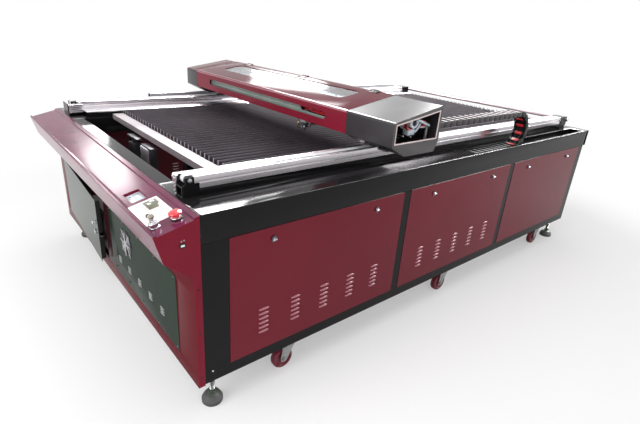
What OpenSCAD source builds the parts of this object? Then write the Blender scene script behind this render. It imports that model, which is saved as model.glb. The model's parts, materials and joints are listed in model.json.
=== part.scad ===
// Large flatbed laser cutting and engraving machine with a moving gantry.
// X runs across the machine, Y from the console to the back, Z up from the floor.
// Inside placed(), Y starts at the frame's front face and Z at the frame's underside.

/* [Body] */
// Width over the side faces
body_w = 1900; // [1860:10:1960]
// Length of the frame from front to back
frame_l = 3010; // [3000:10:3060]
// Height of the frame from its underside to the ledge
frame_h = 690; // [688:1:692]
// Height of the frame's underside above the floor
floor_gap = 155; // [150:1:160]
// Thickness of the folded covers and doors
skin = 2; // [1.5:0.5:2]
// Wall of the frame's square tubes
tube_wall = 3; // [2:0.5:4]
// How far the top rim stands out at the back
rim_overhang = 35; // [20:5:60]

/* [Side doors] */
// Doors on each side
door_count = 3; // [3:1:3]
// Frame seen in front of the first door
door_front_margin = 105; // [100:5:115]
// Frame seen behind the last door
door_rear_margin = 72; // [65:1:80]
// Frame seen between two doors
door_gap = 48; // [44:2:60]
// Height of the doors' bottom edge above the frame's underside
door_z0 = 51; // [45:1:55]
// Height of the doors' top edge above the frame's underside
door_z1 = 583; // [581:1:583]
// Lock centres from the door's ends
lock_end = 182; // [150:2:200]
// Lock centres below the door's top edge
lock_drop = 48; // [46:1:50]

/* [Console] */
// How far the console's nose stands in front of the frame
console_d = 153; // [150:1:156]
// Height of the console's nose above the frame's underside
console_nose_z = 652; // [648:1:654]
// How far the left front door stands open at rest, in degrees
ajar = 2.6; // [1:0.2:6]

/* [Table] */
// Number of slats
slat_count = 30; // [20:1:30]
// Distance between two slats
slat_pitch = 40; // [36:1:40]
// Height of the slats' top edges above the frame's underside
slat_top = 722; // [715:1:724]

/* [Gantry] */
// Front of the gantry behind the frame's front face, at rest
gantry_y = 850; // [700:10:1000]
// Depth of the gantry from front to back
gantry_d = 316; // [316:1:330]
// How far the gantry stands out past each side
gantry_over = 25; // [15:1:30]
// Length of the right end box
right_box_l = 286; // [280:2:300]
// Length of the left end box
left_box_l = 149; // [145:1:160]
// Cutting head's place across the machine, at rest
head_x = 290; // [-400:10:400]
// Outer diameter of the laser tube
laser_d = 80; // [60:5:80]

/* [Wheels and feet] */
// Radius of a castor's wheel
wheel_r = 50; // [40:1:52]
// Wheel axle's distance in front of the swivel's centre
castor_trail = 38; // [30:1:42]
// Radius of a levelling foot's pad
pad_r = 42; // [30:1:45]

/* [Hidden] */
SIDES = ["right", "left"];

// gaps
cut = 1;
gap = 0.3;
weld_gap = 0.2;
run_fit = 0.05;

// frame
side_x = body_w / 2;
frame_y = console_d - (frame_l + rim_overhang + console_d) / 2;
face_x = side_x - skin - gap;
door_l = (frame_l - door_front_margin - door_rear_margin - door_gap * (door_count - 1)) / door_count;
door_lap = 8;
rail_w = 80;
rail_h = door_z0 + door_lap;
post_w = 50;
cross_w = 50;
cross_ys = [2, 217, 1480, 2912];
leg_w = 40;
leg_x = 350;
leg_ys = [222, 1485, 2917];
leg_tops = [676, 646, 676];

// top side beams: a box with a channel for the drag chain, and a ledge inside it
beam_w = 148;
beam_z0 = door_z1;
ledge_inner_x = side_x - 345;
ledge_drop = 90;
trough_x0 = side_x - 104;
trough_x1 = side_x - 20;
trough_floor = frame_h - 35;
slot_y0 = 1600;
slot_y1 = 2965;
lip_drop = 23;

// table
beam_d = 60;
table_front_y = 212;
table_beam_h = 30;
table_beam_z0 = 676;
slat_y0 = table_front_y + beam_d + 9;
slat_y1 = 2905;
slat_h = slat_top - table_beam_z0;
slat_t = 4;
bar_h = 30;
bar_d = 40;
bar_ys = [281, 900, 1485, 2100, 2862];
rear_beam_y = 2912;

// console section, as distances along and below its sloping top
console_top = [console_d, frame_h - console_nose_z];
slope_a = atan2(console_top[1], console_top[0]);
console_wall = 2.5;
cover_top = 470;
panel_sink = 6;
estop_at = [-55, 103];
key_at = [-60, 31];
keypad_at = [-262, 15, 176, 104];
readout_at = [-378, 38, 92, 56];
readout_sink = 11;

// guide rails
support_x0 = side_x - 215;
support_x1 = side_x - 165;
support_top = frame_h + 38;
support_y0 = 16;
support_y1 = 2985;
rail_y0 = 80;
rail_y1 = 2905;
rail_tip_y = 61;
rail_top = 762;
nose_y = [24, 7];
nose_z = [706, 752];
tray_x = [905, 940];
tray_y0 = 549;
rail_x0 = side_x - 232;
rail_x1 = side_x - 161;
flange_x0 = side_x - 338;
flange_z = [716, 722];
idler_y = 43;
idler_z = 750;
idler_r = 13;
idler_shaft_r = 5;
bracket_t = 6;
bracket_top = support_top + 7;

// gantry section, front top corner first, as [distance behind its front, height]
gantry_z = [920, 976];
gantry_low = 768;
gantry_knee = [815, 812];
gantry_section = [[0, gantry_z[0]], [gantry_d, gantry_z[1]], [gantry_d, gantry_knee[1]],
                  [gantry_d - 24, gantry_low], [95, gantry_low], [0, gantry_knee[0]]];
gantry_half = side_x + gantry_over;
box_x1 = gantry_half - right_box_l;
box_x0 = -gantry_half + left_box_l;
box_wall = 3;
lid_rise = (gantry_z[1] - gantry_z[0]) / gantry_d;
main_beam_y = [135, 235];
main_beam_z = [775, 855];
laser_y = 185;
laser_z = main_beam_z[1] + 5 + laser_d / 2;
laser_x = [-760, 870];
window_x = [-620, 523];
window_z = 867;
window_h = 34;
lid_window_x = [-680, 510];
lid_window_y = [118, 262];
lid_window_r = 45;
lid_hinges = [-654, -31, 560];
lid_pin_r = 4;
lid_t = 2.5;
pane_t = 3;
pane_z = [gantry_z[0] - lid_t - weld_gap, gantry_z[1] - lid_t - weld_gap];
hinge_l = 40;
hinge_at = [gantry_d + 5, gantry_z[1] + 1];
cover_flange = 40;

// cutting head
carriage_w = 140;
lens_y = 80;
lens_r = 21;
lens_z = [772, 880];
nozzle_z = 738;

// drag chain
chain_x0 = trough_x0 + 4;
chain_w = trough_x1 - trough_x0 - 8;
chain_h = 28;
chain_r = 100;
chain_low = trough_floor + 1;
bend_y = 2015;
run_y0 = 630;

// castors and feet
castor_x = side_x - 64;
castor_ys = [432, 1576, 2748];
axle_r = 6;
stem_r = 8;
wheel_w = 30;
fork_w = 36;
cheek_t = 3;
plate_t = 4;
foot_ys = [55, 2955];
foot_x = side_x - 62;
foot_stem_r = 10;

module placed() translate([0, frame_y, floor_gap]) children();
module both_sides() {
    children();
    mirror([1, 0, 0]) children();
}
module on_side(side) mirror([side == "left" ? 1 : 0, 0, 0]) children();

// a box from its lowest to its highest corner
module block(a, b) translate(a) cube(b - a);
// a square tube along X, Y or Z (axis 0, 1 or 2), open at both ends
module tube(a, b, axis, wall = tube_wall) {
    run = [for (k = [0 : 2]) k == axis ? cut : -wall];
    difference() {
        block(a, b);
        block(a - run, b + run);
    }
}
// an outline in X and Z drawn out along Y, and one in Y and Z drawn out along X
module along_y(y0, y1) translate([0, y1, 0]) rotate([90, 0, 0]) linear_extrude(y1 - y0) children();
module along_x(x0, x1) translate([x0, 0, 0]) rotate([90, 0, 90]) linear_extrude(x1 - x0) children();
module rect(x0, x1, z0, z1) translate([x0, z0]) square([x1 - x0, z1 - z0]);

function door_y(i) = door_front_margin + (i - 1) * (door_l + door_gap);

// ---- frame ----

module frame_tubes() color([0.04, 0.04, 0.05]) placed() {
    both_sides() difference() {
        tube([face_x - rail_w, 0, 0], [face_x, frame_l, rail_h], 1);
        for (y = foot_ys)
            translate([foot_x, y, -cut]) cylinder(h = tube_wall + 2 * cut, r = foot_stem_r + gap, $fn = 32);
        for (y = castor_ys)
            translate([castor_x, y, -cut]) cylinder(h = tube_wall + 2 * cut, r = stem_r + run_fit, $fn = 32);
    }
    cross_x = face_x - rail_w - weld_gap;
    for (y = cross_ys)
        tube([-cross_x, y, 0], [cross_x, y + cross_w, cross_w], 0);
    both_sides() for (i = [0 : door_count]) {
        y0 = i == 0 ? 0 : door_y(i) + door_l - door_lap;
        y1 = i == door_count ? frame_l : door_y(i + 1) + door_lap;
        tube([face_x - post_w, y0, rail_h + weld_gap], [face_x, y1, beam_z0 - weld_gap], 2);
    }
    both_sides() for (i = [0 : len(leg_ys) - 1])
        tube([leg_x - leg_w / 2, leg_ys[i], cross_w + weld_gap],
             [leg_x + leg_w / 2, leg_ys[i] + leg_w, leg_tops[i] - weld_gap], 2);
}

module side_beam_section() {
    wall = tube_wall;
    box_x0 = face_x - beam_w;
    difference() {
        rect(box_x0, face_x, beam_z0, frame_h);
        polygon([[box_x0 + wall, beam_z0 + wall], [face_x - wall, beam_z0 + wall],
                 [face_x - wall, frame_h - wall], [trough_x1 + wall, frame_h - wall],
                 [trough_x1 + wall, trough_floor - wall], [trough_x0 - wall, trough_floor - wall],
                 [trough_x0 - wall, frame_h - wall], [box_x0 + wall, frame_h - wall]]);
        rect(trough_x0, trough_x1, trough_floor, frame_h - wall);
    }
    rect(ledge_inner_x, box_x0 + wall, frame_h - wall, frame_h);
    rect(ledge_inner_x, ledge_inner_x + wall, frame_h - ledge_drop, frame_h);
}

module side_beam(open_trough) {
    difference() {
        along_y(0, frame_l) side_beam_section();
        if (open_trough)
            block([trough_x0, slot_y0, trough_floor], [trough_x1, slot_y1, frame_h + cut]);
    }
    for (y = [0, frame_l - tube_wall])
        block([face_x - beam_w, y, beam_z0], [face_x, y + tube_wall, frame_h]);
    for (i = [1 : door_count])
        block([face_x - tube_wall, door_y(i) + door_lap + 1, beam_z0 - lip_drop],
              [face_x, door_y(i) + door_l - door_lap - 1, beam_z0 - weld_gap]);
}

module side_beams() color([0.04, 0.04, 0.05]) placed() {
    side_beam(true);
    mirror([1, 0, 0]) side_beam(false);
}

module end_beams() color([0.04, 0.04, 0.05]) placed() {
    x = ledge_inner_x - weld_gap;
    tube([-x, 0, frame_h - ledge_drop], [x, beam_d, frame_h], 0);
    tube([-x, frame_l - 35, frame_h - ledge_drop], [x, frame_l - weld_gap, frame_h], 0);
    tube([-face_x, frame_l, beam_z0], [face_x, frame_l + rim_overhang, frame_h], 0);
}

// ---- covers ----

vent_x = [5, 792];
door_x = [-862, -75];
front_z = [60, 400];
cover_y = -27;
cover_z0 = -4;
fan_x = 249;
fan_z = 298;
fan_bore_r = 56;
fan_side = 120;
fan_d = 38;

module front_cover() color([0.43, 0.11, 0.16]) placed() difference() {
    block([-side_x, cover_y, cover_z0], [side_x, 0, cover_top]);
    block([-side_x + skin, cover_y + skin, cover_z0 + skin], [side_x - skin, cut, cover_top - skin]);
    for (x = [vent_x, door_x])
        block([x[0] + door_lap, cover_y - cut, front_z[0] + door_lap],
              [x[1] - door_lap, cover_y + skin + cut, front_z[1] - door_lap]);
}

// rows of louvre slots in a sheet that faces -Y, standing on the slots' centres
module louvre_slots(columns, pitch, rows, row_pitch, w, h)
    for (c = [0 : columns - 1], r = [0 : rows - 1])
        translate([(c - (columns - 1) / 2) * pitch - w / 2, 0, (r - (rows - 1) / 2) * row_pitch])
            block([0, -6, -h / 2], [w, 6, h / 2]);

module front_vent_panel() color([0.1, 0.17, 0.14]) placed() difference() {
    block([vent_x[0], cover_y - skin, front_z[0]], [vent_x[1], cover_y, front_z[1]]);
    translate([fan_x, 0, fan_z]) rotate([90, 0, 0]) cylinder(h = 60, r = fan_bore_r, $fn = 64);
    translate([386, cover_y, 163]) louvre_slots(5, 127, 3, 13, 40, 4);
}

module fan_unit() placed() translate([fan_x, cover_y, fan_z]) {
    color([0.07, 0.07, 0.07]) difference() {
        block([-fan_side / 2, 0, -fan_side / 2], [fan_side / 2, fan_d, fan_side / 2]);
        rotate([-90, 0, 0]) translate([0, 0, -cut]) cylinder(h = fan_d - 4 + cut, r = fan_bore_r, $fn = 64);
        for (a = [0 : 90 : 270])
            rotate([0, a + 45, 0]) translate([32, fan_d - 6, 0]) rotate([-90, 0, 0])
                cylinder(h = 10, r = 15, $fn = 32);
    }
    color([0.8, 0.8, 0.82]) rotate([90, 0, 0]) translate([0, 0, skin + 3]) {
        for (r = [14 : 11 : 58])
            rotate_extrude($fn = 64) translate([r, 0]) circle(r = 1.3, $fn = 16);
        for (a = [45 : 90 : 315])
            rotate([0, 90, a]) translate([0, 0, 13]) cylinder(h = 58, r = 1.4, $fn = 16);
        for (a = [45 : 90 : 315])
            rotate([0, 0, a]) translate([71, 0, 0.1 - 3]) cylinder(h = 5, r = 4, $fn = 24);
    }
}

module fan_rotor() color([0.12, 0.12, 0.13]) placed() translate([fan_x, cover_y, fan_z]) rotate([-90, 0, 0]) {
    translate([0, 0, 5]) cylinder(h = 24, r = 20, $fn = 48);
    for (a = [0 : 360 / 7 : 359])
        rotate([0, 0, a]) translate([17, 0, 17]) rotate([38, 0, 0]) block([0, -14, -1], [36, 14, 1]);
}

// a door: a flat skin with a folded ring behind it. It lies in X and Z, faces -Y, and its
// hinge edge is x = 0 or z = 0 as its insets say.
module door_pan(w, h, insets) {
    block([0, 0, 0], [w, skin, h]);
    difference() {
        block([insets[0], skin - 0.5, insets[2]], [w - insets[1], skin + 15, h - insets[3]]);
        block([insets[0] + skin, skin - cut, insets[2] + skin],
              [w - insets[1] - skin, skin + 15 + cut, h - insets[3] - skin]);
    }
}

lock_body_r = 9;
lock_head_r = 12.5;
lock_head_t = 5;
blade_l = 44;
front_blade_l = 62;
blade_w = 15;
front_door_w = door_x[1] - door_x[0];
front_lock_at = [front_door_w - 63, 148];

// a cam lock in a sheet that faces -Y: its centre is at the sheet's outer face
module cam_lock(blade_turn, blade = blade_l) {
    rotate([90, 0, 0]) translate([0, 0, gap]) difference() {
        union() {
            cylinder(h = lock_head_t, r = lock_head_r, $fn = 48);
            translate([0, 0, -18]) cylinder(h = 19, r = lock_body_r, $fn = 48);
        }
        translate([0, 0, lock_head_t - 2]) block([-1, -5, 0], [1, 5, 3]);
    }
    rotate([0, blade_turn, 0]) block([-blade_w / 2, 8, -blade_w / 2], [blade, 11, blade_w / 2]);
}

module at_front_door() placed() translate([door_x[0], cover_y - skin - gap, front_z[0]])
    rotate([0, 0, -ajar]) children();

module front_door() color([0.1, 0.17, 0.14]) at_front_door() difference() {
    door_pan(front_door_w, front_z[1] - front_z[0], [30, 100, 20, 20]);
    translate([front_lock_at[0], 0, front_lock_at[1]]) rotate([90, 0, 0])
        cylinder(h = 20, r = lock_body_r + run_fit, center = true, $fn = 48);
}

module front_door_lock() color([0.75, 0.75, 0.77]) at_front_door()
    translate([front_lock_at[0], 0, front_lock_at[1]]) cam_lock(90, front_blade_l);

// the right side's doors: Y runs to the door's right, seen from outside
module at_side_door(side, i) placed() on_side(side)
    translate([side_x, door_y(i), door_z0]) rotate([0, 0, 90]) children();

module side_door(side, i) color([0.43, 0.11, 0.16]) at_side_door(side, i) difference() {
    door_pan(door_l, door_z1 - door_z0, [20, 20, 30, 64]);
    for (x = [lock_end, door_l - lock_end])
        translate([x, 0, door_z1 - door_z0 - lock_drop]) rotate([90, 0, 0])
            cylinder(h = 20, r = lock_body_r + run_fit, center = true, $fn = 48);
    if (i < door_count)
        translate([door_l / 2, 0, 138]) louvre_slots(5, 154, 6, 21, 44, 5);
}

module side_lock(side, i, e) color([0.75, 0.75, 0.77]) at_side_door(side, i)
    translate([e == "a" ? lock_end : door_l - lock_end, 0, door_z1 - door_z0 - lock_drop])
        cam_lock(e == "a" ? 0 : 180);

spigot_r = 75;
spigot_x = 0;
spigot_z = 400;
inlet_r = 12.5;
inlet_at = [-700, 150];

module rear_cover() color([0.43, 0.11, 0.16]) placed() translate([0, frame_l, 0]) difference() {
    union() {
        block([-face_x, 0, 0], [face_x, skin, beam_z0 - weld_gap]);
        translate([spigot_x, 0, spigot_z]) rotate([-90, 0, 0])
            cylinder(h = rim_overhang - 2, r = spigot_r, $fn = 96);
        translate([inlet_at[0], 0, inlet_at[1]]) rotate([-90, 0, 0])
            cylinder(h = 22, r = inlet_r + 8, $fn = 48);
    }
    translate([spigot_x, -cut, spigot_z]) rotate([-90, 0, 0])
        cylinder(h = rim_overhang + 2, r = spigot_r - 3, $fn = 96);
    translate([inlet_at[0], -cut, inlet_at[1]]) rotate([-90, 0, 0])
        cylinder(h = 30, r = inlet_r, $fn = 48);
    for (x = [-500, 500])
        translate([x, 0, 220]) louvre_slots(5, 100, 6, 21, 44, 5);
}

// ---- console ----

// a point along the sloping top from the nose, and below it
function top_point(along, below) =
    [-console_d + along * cos(slope_a) + below * sin(slope_a),
     console_nose_z + along * sin(slope_a) - below * cos(slope_a)];
console_foot = [-125, 550];
console_shell = [[0, cover_top], [-29, cover_top], console_foot, top_point(0, 0), top_point(10, 0),
                 top_point(13, panel_sink), top_point(136, panel_sink), top_point(139, 0),
                 [0, frame_h]];
console_hollow = [[-console_wall, cover_top + 3], [-28, cover_top + 3], [-122.4, 551.8],
                  top_point(4, panel_sink + 3), top_point(152, panel_sink + 3)];

// stands on the console's sunk panel, X across the machine from the right end, Y up the slope
module on_console() placed()
    translate([side_x, -console_d, console_nose_z]) rotate([slope_a, 0, 0])
        translate([0, 0, -panel_sink]) children();

module console() color([0.45, 0.2, 0.27]) {
    difference() {
        placed() difference() {
            along_x(-side_x, side_x) polygon(console_shell);
            along_x(-side_x + console_wall, side_x - console_wall) polygon(console_hollow);
        }
        on_console() {
            translate([estop_at[0], estop_at[1], 0]) cylinder(h = 30, r = 11.5, center = true, $fn = 48);
            translate([key_at[0], key_at[1], 0]) cylinder(h = 30, r = 9.5, center = true, $fn = 48);
            block([readout_at[0], readout_at[1], -10],
                  [readout_at[0] + readout_at[2], readout_at[1] + readout_at[3], 10]);
        }
    }
}

module control_panels() color([0.86, 0.86, 0.86]) on_console() {
    block([keypad_at[0], keypad_at[1], 0],
          [keypad_at[0] + keypad_at[2], keypad_at[1] + keypad_at[3], 1.5]);
    block([readout_at[0] - 4, readout_at[1] - 4, -readout_sink - 6],
          [readout_at[0] + readout_at[2] + 4, readout_at[1] + readout_at[3] + 4, -readout_sink]);
    for (p = [[estop_at, 16, 11, 8], [key_at, 14, 9, 20]])
        translate([p[0][0], p[0][1], 0]) difference() {
            cylinder(h = p[3], r = p[1], $fn = 48);
            translate([0, 0, -cut]) cylinder(h = p[3] + 2 * cut, r = p[2] + run_fit, $fn = 48);
        }
}

module estop_button() color([0.85, 0.08, 0.1]) on_console() translate([estop_at[0], estop_at[1], 0]) {
    translate([0, 0, -24]) cylinder(h = 40, r = 11, $fn = 48);
    rotate_extrude($fn = 64)
        polygon([[0, 14], [12, 14], [19, 16.5], [22, 19], [22, 23], [19.5, 26.5], [12, 28.5], [0, 29]]);
}

module key_switch() color([0.75, 0.75, 0.77]) on_console() translate([key_at[0], key_at[1], 0]) {
    translate([0, 0, -20]) cylinder(h = 42, r = 9, $fn = 48);
    block([-1.2, -4, 21], [1.2, 4, 31]);
    translate([0, 0, 40]) rotate([0, 90, 0]) difference() {
        cylinder(h = 2.4, r = 11, center = true, $fn = 32);
        translate([-6, 0, 0]) cylinder(h = 4, r = 2.5, center = true, $fn = 24);
    }
}

// ---- inside the front bay ----

module power_supply() placed() {
    color([0.6, 0.6, 0.62])
        block([-620, cross_ys[0], cross_w], [-220, leg_ys[0] - 1, cross_w + 3]);
    color([0.75, 0.76, 0.74]) difference() {
        block([-590, 30, cross_w + 3], [-300, 210, cross_w + 183]);
        block([-590 + skin, 30 + skin, cross_w + 3 - cut], [-300 - skin, 210 - skin, cross_w + 183 - skin]);
    }
}

// ---- guide rails ----

module rail_supports() color([0.05, 0.05, 0.06]) placed() {
    both_sides() {
        tube([support_x0, support_y0, frame_h], [support_x1, support_y1, support_top], 1);
        tube([flange_x0 + 4, rail_y0, frame_h], [flange_x0 + 30, rail_y1, flange_z[0]], 1, 2);
        difference() {
            for (x = [support_x1, support_x0 - bracket_t])
                along_x(x, x + bracket_t) polygon([
                    [support_y0 + 4, frame_h], [rail_y0 - 2, frame_h], [rail_y0 - 2, frame_h + 27],
                    [rail_y0 - 4, frame_h + 36], [70, frame_h + 42], [60, bracket_top],
                    [60, rail_top - 2], [28, rail_top - 2], [28, bracket_top],
                    [support_y0 + 4, bracket_top]]);
            translate([0, idler_y, idler_z]) rotate([0, 90, 0])
                cylinder(h = side_x, r = idler_shaft_r + run_fit, $fn = 32);
        }
        along_y(rail_y1 + 1, support_y1) difference() {
            rect(rail_x0 - 4, rail_x1 + 4, frame_h, rail_top + 2);
            rect(rail_x0 - 1, rail_x1 + 1, frame_h - cut, rail_top - 1);
        }
    }
    tube([-tray_x[1], tray_y0, frame_h], [-tray_x[0], support_y1, rail_top], 1, 2);
    block([-rail_x1 - 1, 1, frame_h], [30 - rail_x0, 5, rail_top - 5]);
}

module idler(side) color([0.9, 0.9, 0.9]) placed() on_side(side)
    translate([0, idler_y, idler_z]) rotate([0, 90, 0]) {
        translate([0, 0, support_x0 - bracket_t - 2]) cylinder(h = 70, r = idler_shaft_r, $fn = 32);
        translate([0, 0, support_x0 + 12]) cylinder(h = 26, r = idler_r, $fn = 48);
        for (x = [support_x0 + 10, support_x0 + 38])
            translate([0, 0, x]) cylinder(h = 2, r = idler_r + 2, $fn = 48);
    }

module rail_section() difference() {
    polygon([[flange_x0, flange_z[0]], [support_x0 - gap, flange_z[0]],
             [support_x0 - gap, support_top + gap], [support_x1 + gap, support_top + gap],
             [support_x1 + gap, flange_z[0]], [rail_x1, flange_z[0]], [rail_x1, rail_top],
             [rail_x0, rail_top], [rail_x0, flange_z[1]], [flange_x0, flange_z[1]]]);
    for (x = [rail_x0 + 14, rail_x1 - 22])
        rect(x, x + 8, rail_top - 7, rail_top + cut);
    rect(rail_x1 - 5, rail_x1 + cut, 736, 743);
    rect(rail_x0 - cut, rail_x0 + 5, 740, 747);
}

module rail_nose(y) along_y(y, rail_y0) difference() {
    rect(rail_x0 - 29, rail_x0 + 6, nose_z[0], nose_z[1]);
    for (z = [712, 722, 732, 742])
        rect(rail_x0 - 29 - cut, rail_x0 - 26, z, z + 2);
}

module guide_rails() color([0.8, 0.8, 0.82]) placed() {
    both_sides() {
        along_y(rail_y0, rail_y1) rail_section();
        along_y(rail_tip_y, rail_y0) intersection() {
            rail_section();
            rect(rail_x0, rail_x1, bracket_top + 1, rail_top);
        }
    }
    rail_nose(nose_y[0]);
    mirror([1, 0, 0]) rail_nose(nose_y[1]);
}

// ---- table ----

module table_beams() placed() {
    x = ledge_inner_x - weld_gap;
    color([0.72, 0.69, 0.65]) {
        tube([-x, table_front_y, table_beam_z0],
             [x, table_front_y + beam_d, table_beam_z0 + table_beam_h], 0);
        tube([-x, rear_beam_y, table_beam_z0], [x, rear_beam_y + beam_d, table_beam_z0 + table_beam_h], 0);
    }
    color([0.2, 0.2, 0.2]) for (y = bar_ys)
        tube([-x, y, table_beam_z0 - bar_h], [x, y + bar_d, table_beam_z0], 0);
}

module slats() color([0.3, 0.3, 0.31]) placed() for (i = [0 : slat_count - 1])
    translate([(i - (slat_count - 1) / 2) * slat_pitch, 0, 0]) along_y(slat_y0, slat_y1)
        polygon([[-slat_t / 2, slat_top - slat_h], [slat_t / 2, slat_top - slat_h],
                 [slat_t / 2, slat_top - 6], [0.5, slat_top], [-0.5, slat_top],
                 [-slat_t / 2, slat_top - 6]]);

// ---- gantry ----

module at_gantry() placed() translate([0, gantry_y, 0]) children();
// the gantry's outline, shrunk by a wall all round
inner_section = [[box_wall, gantry_z[0] - box_wall + box_wall * lid_rise],
                 [gantry_d - box_wall, gantry_z[1] - box_wall - box_wall * lid_rise],
                 [gantry_d - box_wall, gantry_knee[1] + 1], [gantry_d - 26, gantry_low + box_wall],
                 [97, gantry_low + box_wall], [box_wall, gantry_knee[0] + 1]];
mouth = [[14, gantry_z[0] - 9], [gantry_d - 12, gantry_z[1] - 20],
         [gantry_d - 14, gantry_knee[1] + 14], [14, gantry_knee[0] + 10]];

module gantry_box(x0, x1) difference() {
    along_x(x0, x1) polygon(gantry_section);
    along_x(x0 + box_wall, x1 - box_wall) polygon(inner_section);
    translate([0, laser_y, laser_z]) rotate([0, 90, 0])
        cylinder(h = 2 * (gantry_half - 2 * box_wall), r = laser_d / 2 + 6, center = true, $fn = 96);
    if (x1 > 0)
        along_x(x1 - box_wall - cut, x1 + cut) polygon(mouth);
}

module gantry_frame() color([0.06, 0.06, 0.07]) at_gantry() {
    gantry_box(box_x1, gantry_half);
    gantry_box(-gantry_half, box_x0);
    difference() {
        union() {
            block([box_x0 - 1, main_beam_y[0], main_beam_z[0]],
                  [box_x1 + 1, main_beam_y[1], main_beam_z[1]]);
            for (x = [-600, 0, 600])
                block([x - 15, laser_y - 35, main_beam_z[1] - cut], [x + 15, laser_y + 35, laser_z - 14]);
        }
        block([-side_x, main_beam_y[0] + 4, main_beam_z[0] + 4],
              [side_x, main_beam_y[1] - 4, main_beam_z[1] - 4]);
        translate([0, laser_y, laser_z]) rotate([0, 90, 0])
            cylinder(h = body_w, r = laser_d / 2 + weld_gap, center = true, $fn = 96);
    }
    both_sides() for (y = [110, 220])
        block([rail_x0 + 24, y, rail_top + 0.5], [rail_x1 - 24, y + 50, gantry_low + cut]);
}

module laser_tube() at_gantry() translate([0, laser_y, laser_z]) rotate([0, 90, 0]) {
    color([0.8, 0.9, 0.95, 0.5]) translate([0, 0, laser_x[0]])
        cylinder(h = laser_x[1] - laser_x[0], r = laser_d / 2, $fn = 96);
    color([0.8, 0.8, 0.8]) for (x = [laser_x[0] - 40, laser_x[1]])
        translate([0, 0, x]) cylinder(h = 40, r = laser_d / 2 - 18, $fn = 64);
}

module gantry_cover() color([0.45, 0.12, 0.17]) at_gantry() {
    x0 = box_x0 + weld_gap;
    x1 = box_x1 - weld_gap;
    difference() {
        along_x(x0, x1) polygon([[0, gantry_knee[0]], [0, gantry_z[0] - 3], [skin, gantry_z[0] - 3],
                                 [skin, gantry_knee[0] + skin], [cover_flange, gantry_knee[0] + skin],
                                 [cover_flange, gantry_knee[0]]]);
        for (x = window_x)
            translate([x, -cut, window_z]) rotate([-90, 0, 0])
                cylinder(h = skin + 2 * cut, r = window_h / 2, $fn = 48);
        block([window_x[0], -cut, window_z - window_h / 2],
              [window_x[1], skin + cut, window_z + window_h / 2]);
    }
    along_x(x0, x1) polygon([
        [gantry_d, gantry_knee[1]], [gantry_d, gantry_z[1] - 4], [gantry_d - skin, gantry_z[1] - 4],
        [gantry_d - skin, gantry_knee[1] + skin], [main_beam_y[1], gantry_knee[1] + skin],
        [main_beam_y[1], gantry_knee[1]]]);
    for (x = lid_hinges, side = [-1, 1])
        translate([x + side * (hinge_l + 12) / 2, 0, 0]) {
            along_x(-5, 5) polygon([
                [gantry_d - 0.5, gantry_z[1] - 30], [gantry_d + 2, gantry_z[1] - 30],
                [hinge_at[0] + 2, hinge_at[1]], [hinge_at[0] - 3, hinge_at[1]],
                [gantry_d - 0.5, gantry_z[1] - 6]]);
            translate([-5, hinge_at[0], hinge_at[1]]) rotate([0, 90, 0])
                cylinder(h = 10, r = lid_pin_r, $fn = 32);
        }
}

module lid_window(margin, z0, z1) {
    translate([0, 0, z0]) linear_extrude(height = z1 - z0) offset(r = lid_window_r)
        translate([lid_window_x[0] + lid_window_r - margin, lid_window_y[0] + lid_window_r - margin])
            square([lid_window_x[1] - lid_window_x[0] - 2 * (lid_window_r - margin),
                    lid_window_y[1] - lid_window_y[0] - 2 * (lid_window_r - margin)]);
}

module gantry_lid() color([0.45, 0.12, 0.17]) at_gantry() {
    difference() {
        along_x(box_x0 + 2, box_x1 - 2) polygon([
            [0, gantry_z[0] - lid_t], [gantry_d, gantry_z[1] - lid_t], [gantry_d, gantry_z[1]],
            [0, gantry_z[0]]]);
        lid_window(0, gantry_low, gantry_z[1] + lid_t);
    }
    intersection() {
        along_x(box_x0 + 2, box_x1 - 2) polygon([
            [0, pane_z[0] - pane_t], [gantry_d, pane_z[1] - pane_t], [gantry_d, pane_z[1]],
            [0, pane_z[0]]]);
        lid_window(14, gantry_low, gantry_z[1] + lid_t);
    }
    for (y = [skin + 6, gantry_d - 2 * skin - 6])
        block([box_x0 + 8, y, gantry_z[0] - 18 + y * lid_rise],
              [box_x1 - 8, y + skin, gantry_z[0] - 2 + y * lid_rise]);
    for (x = lid_hinges)
        translate([x - hinge_l / 2, 0, 0]) {
            along_x(0, hinge_l) polygon([
                [gantry_d - 30, gantry_z[1] - 30 * lid_rise - 1], [gantry_d, gantry_z[1] - 1],
                [hinge_at[0], gantry_z[1] - 1], [hinge_at[0], gantry_z[1] + 1.5],
                [gantry_d, gantry_z[1] + 1.5], [gantry_d - 30, gantry_z[1] - 30 * lid_rise + 1.5]]);
            translate([0, hinge_at[0], hinge_at[1]]) rotate([0, 90, 0])
                cylinder(h = hinge_l, r = lid_pin_r, $fn = 32);
        }
}

module head_carriage() color([0.75, 0.75, 0.78]) at_gantry() translate([head_x, 0, 0]) difference() {
    union() {
        block([-carriage_w / 2, main_beam_y[0] - 12.5, gantry_low + 8],
              [carriage_w / 2, main_beam_y[0] - 0.5, 850]);
        block([-30, lens_y, 786], [30, main_beam_y[0] - 12, 826]);
        translate([0, lens_y, 786]) cylinder(h = 40, r = lens_r + 12, $fn = 64);
    }
    translate([0, lens_y, 700]) cylinder(h = 300, r = lens_r + run_fit, $fn = 64);
}

module lens_tube() color([0.7, 0.6, 0.35]) at_gantry() translate([head_x, lens_y, 0])
    rotate_extrude($fn = 64) polygon([
        [1.5, nozzle_z], [4, nozzle_z], [7, nozzle_z + 14], [15, nozzle_z + 26], [15, lens_z[0]],
        [lens_r, lens_z[0]], [lens_r, lens_z[1]], [lens_r - 4, lens_z[1]],
        [lens_r - 4, lens_z[0] + 6], [11, lens_z[0] + 2], [11, nozzle_z + 28],
        [1.5, nozzle_z + 18]]);

// ---- drag chain ----

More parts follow.
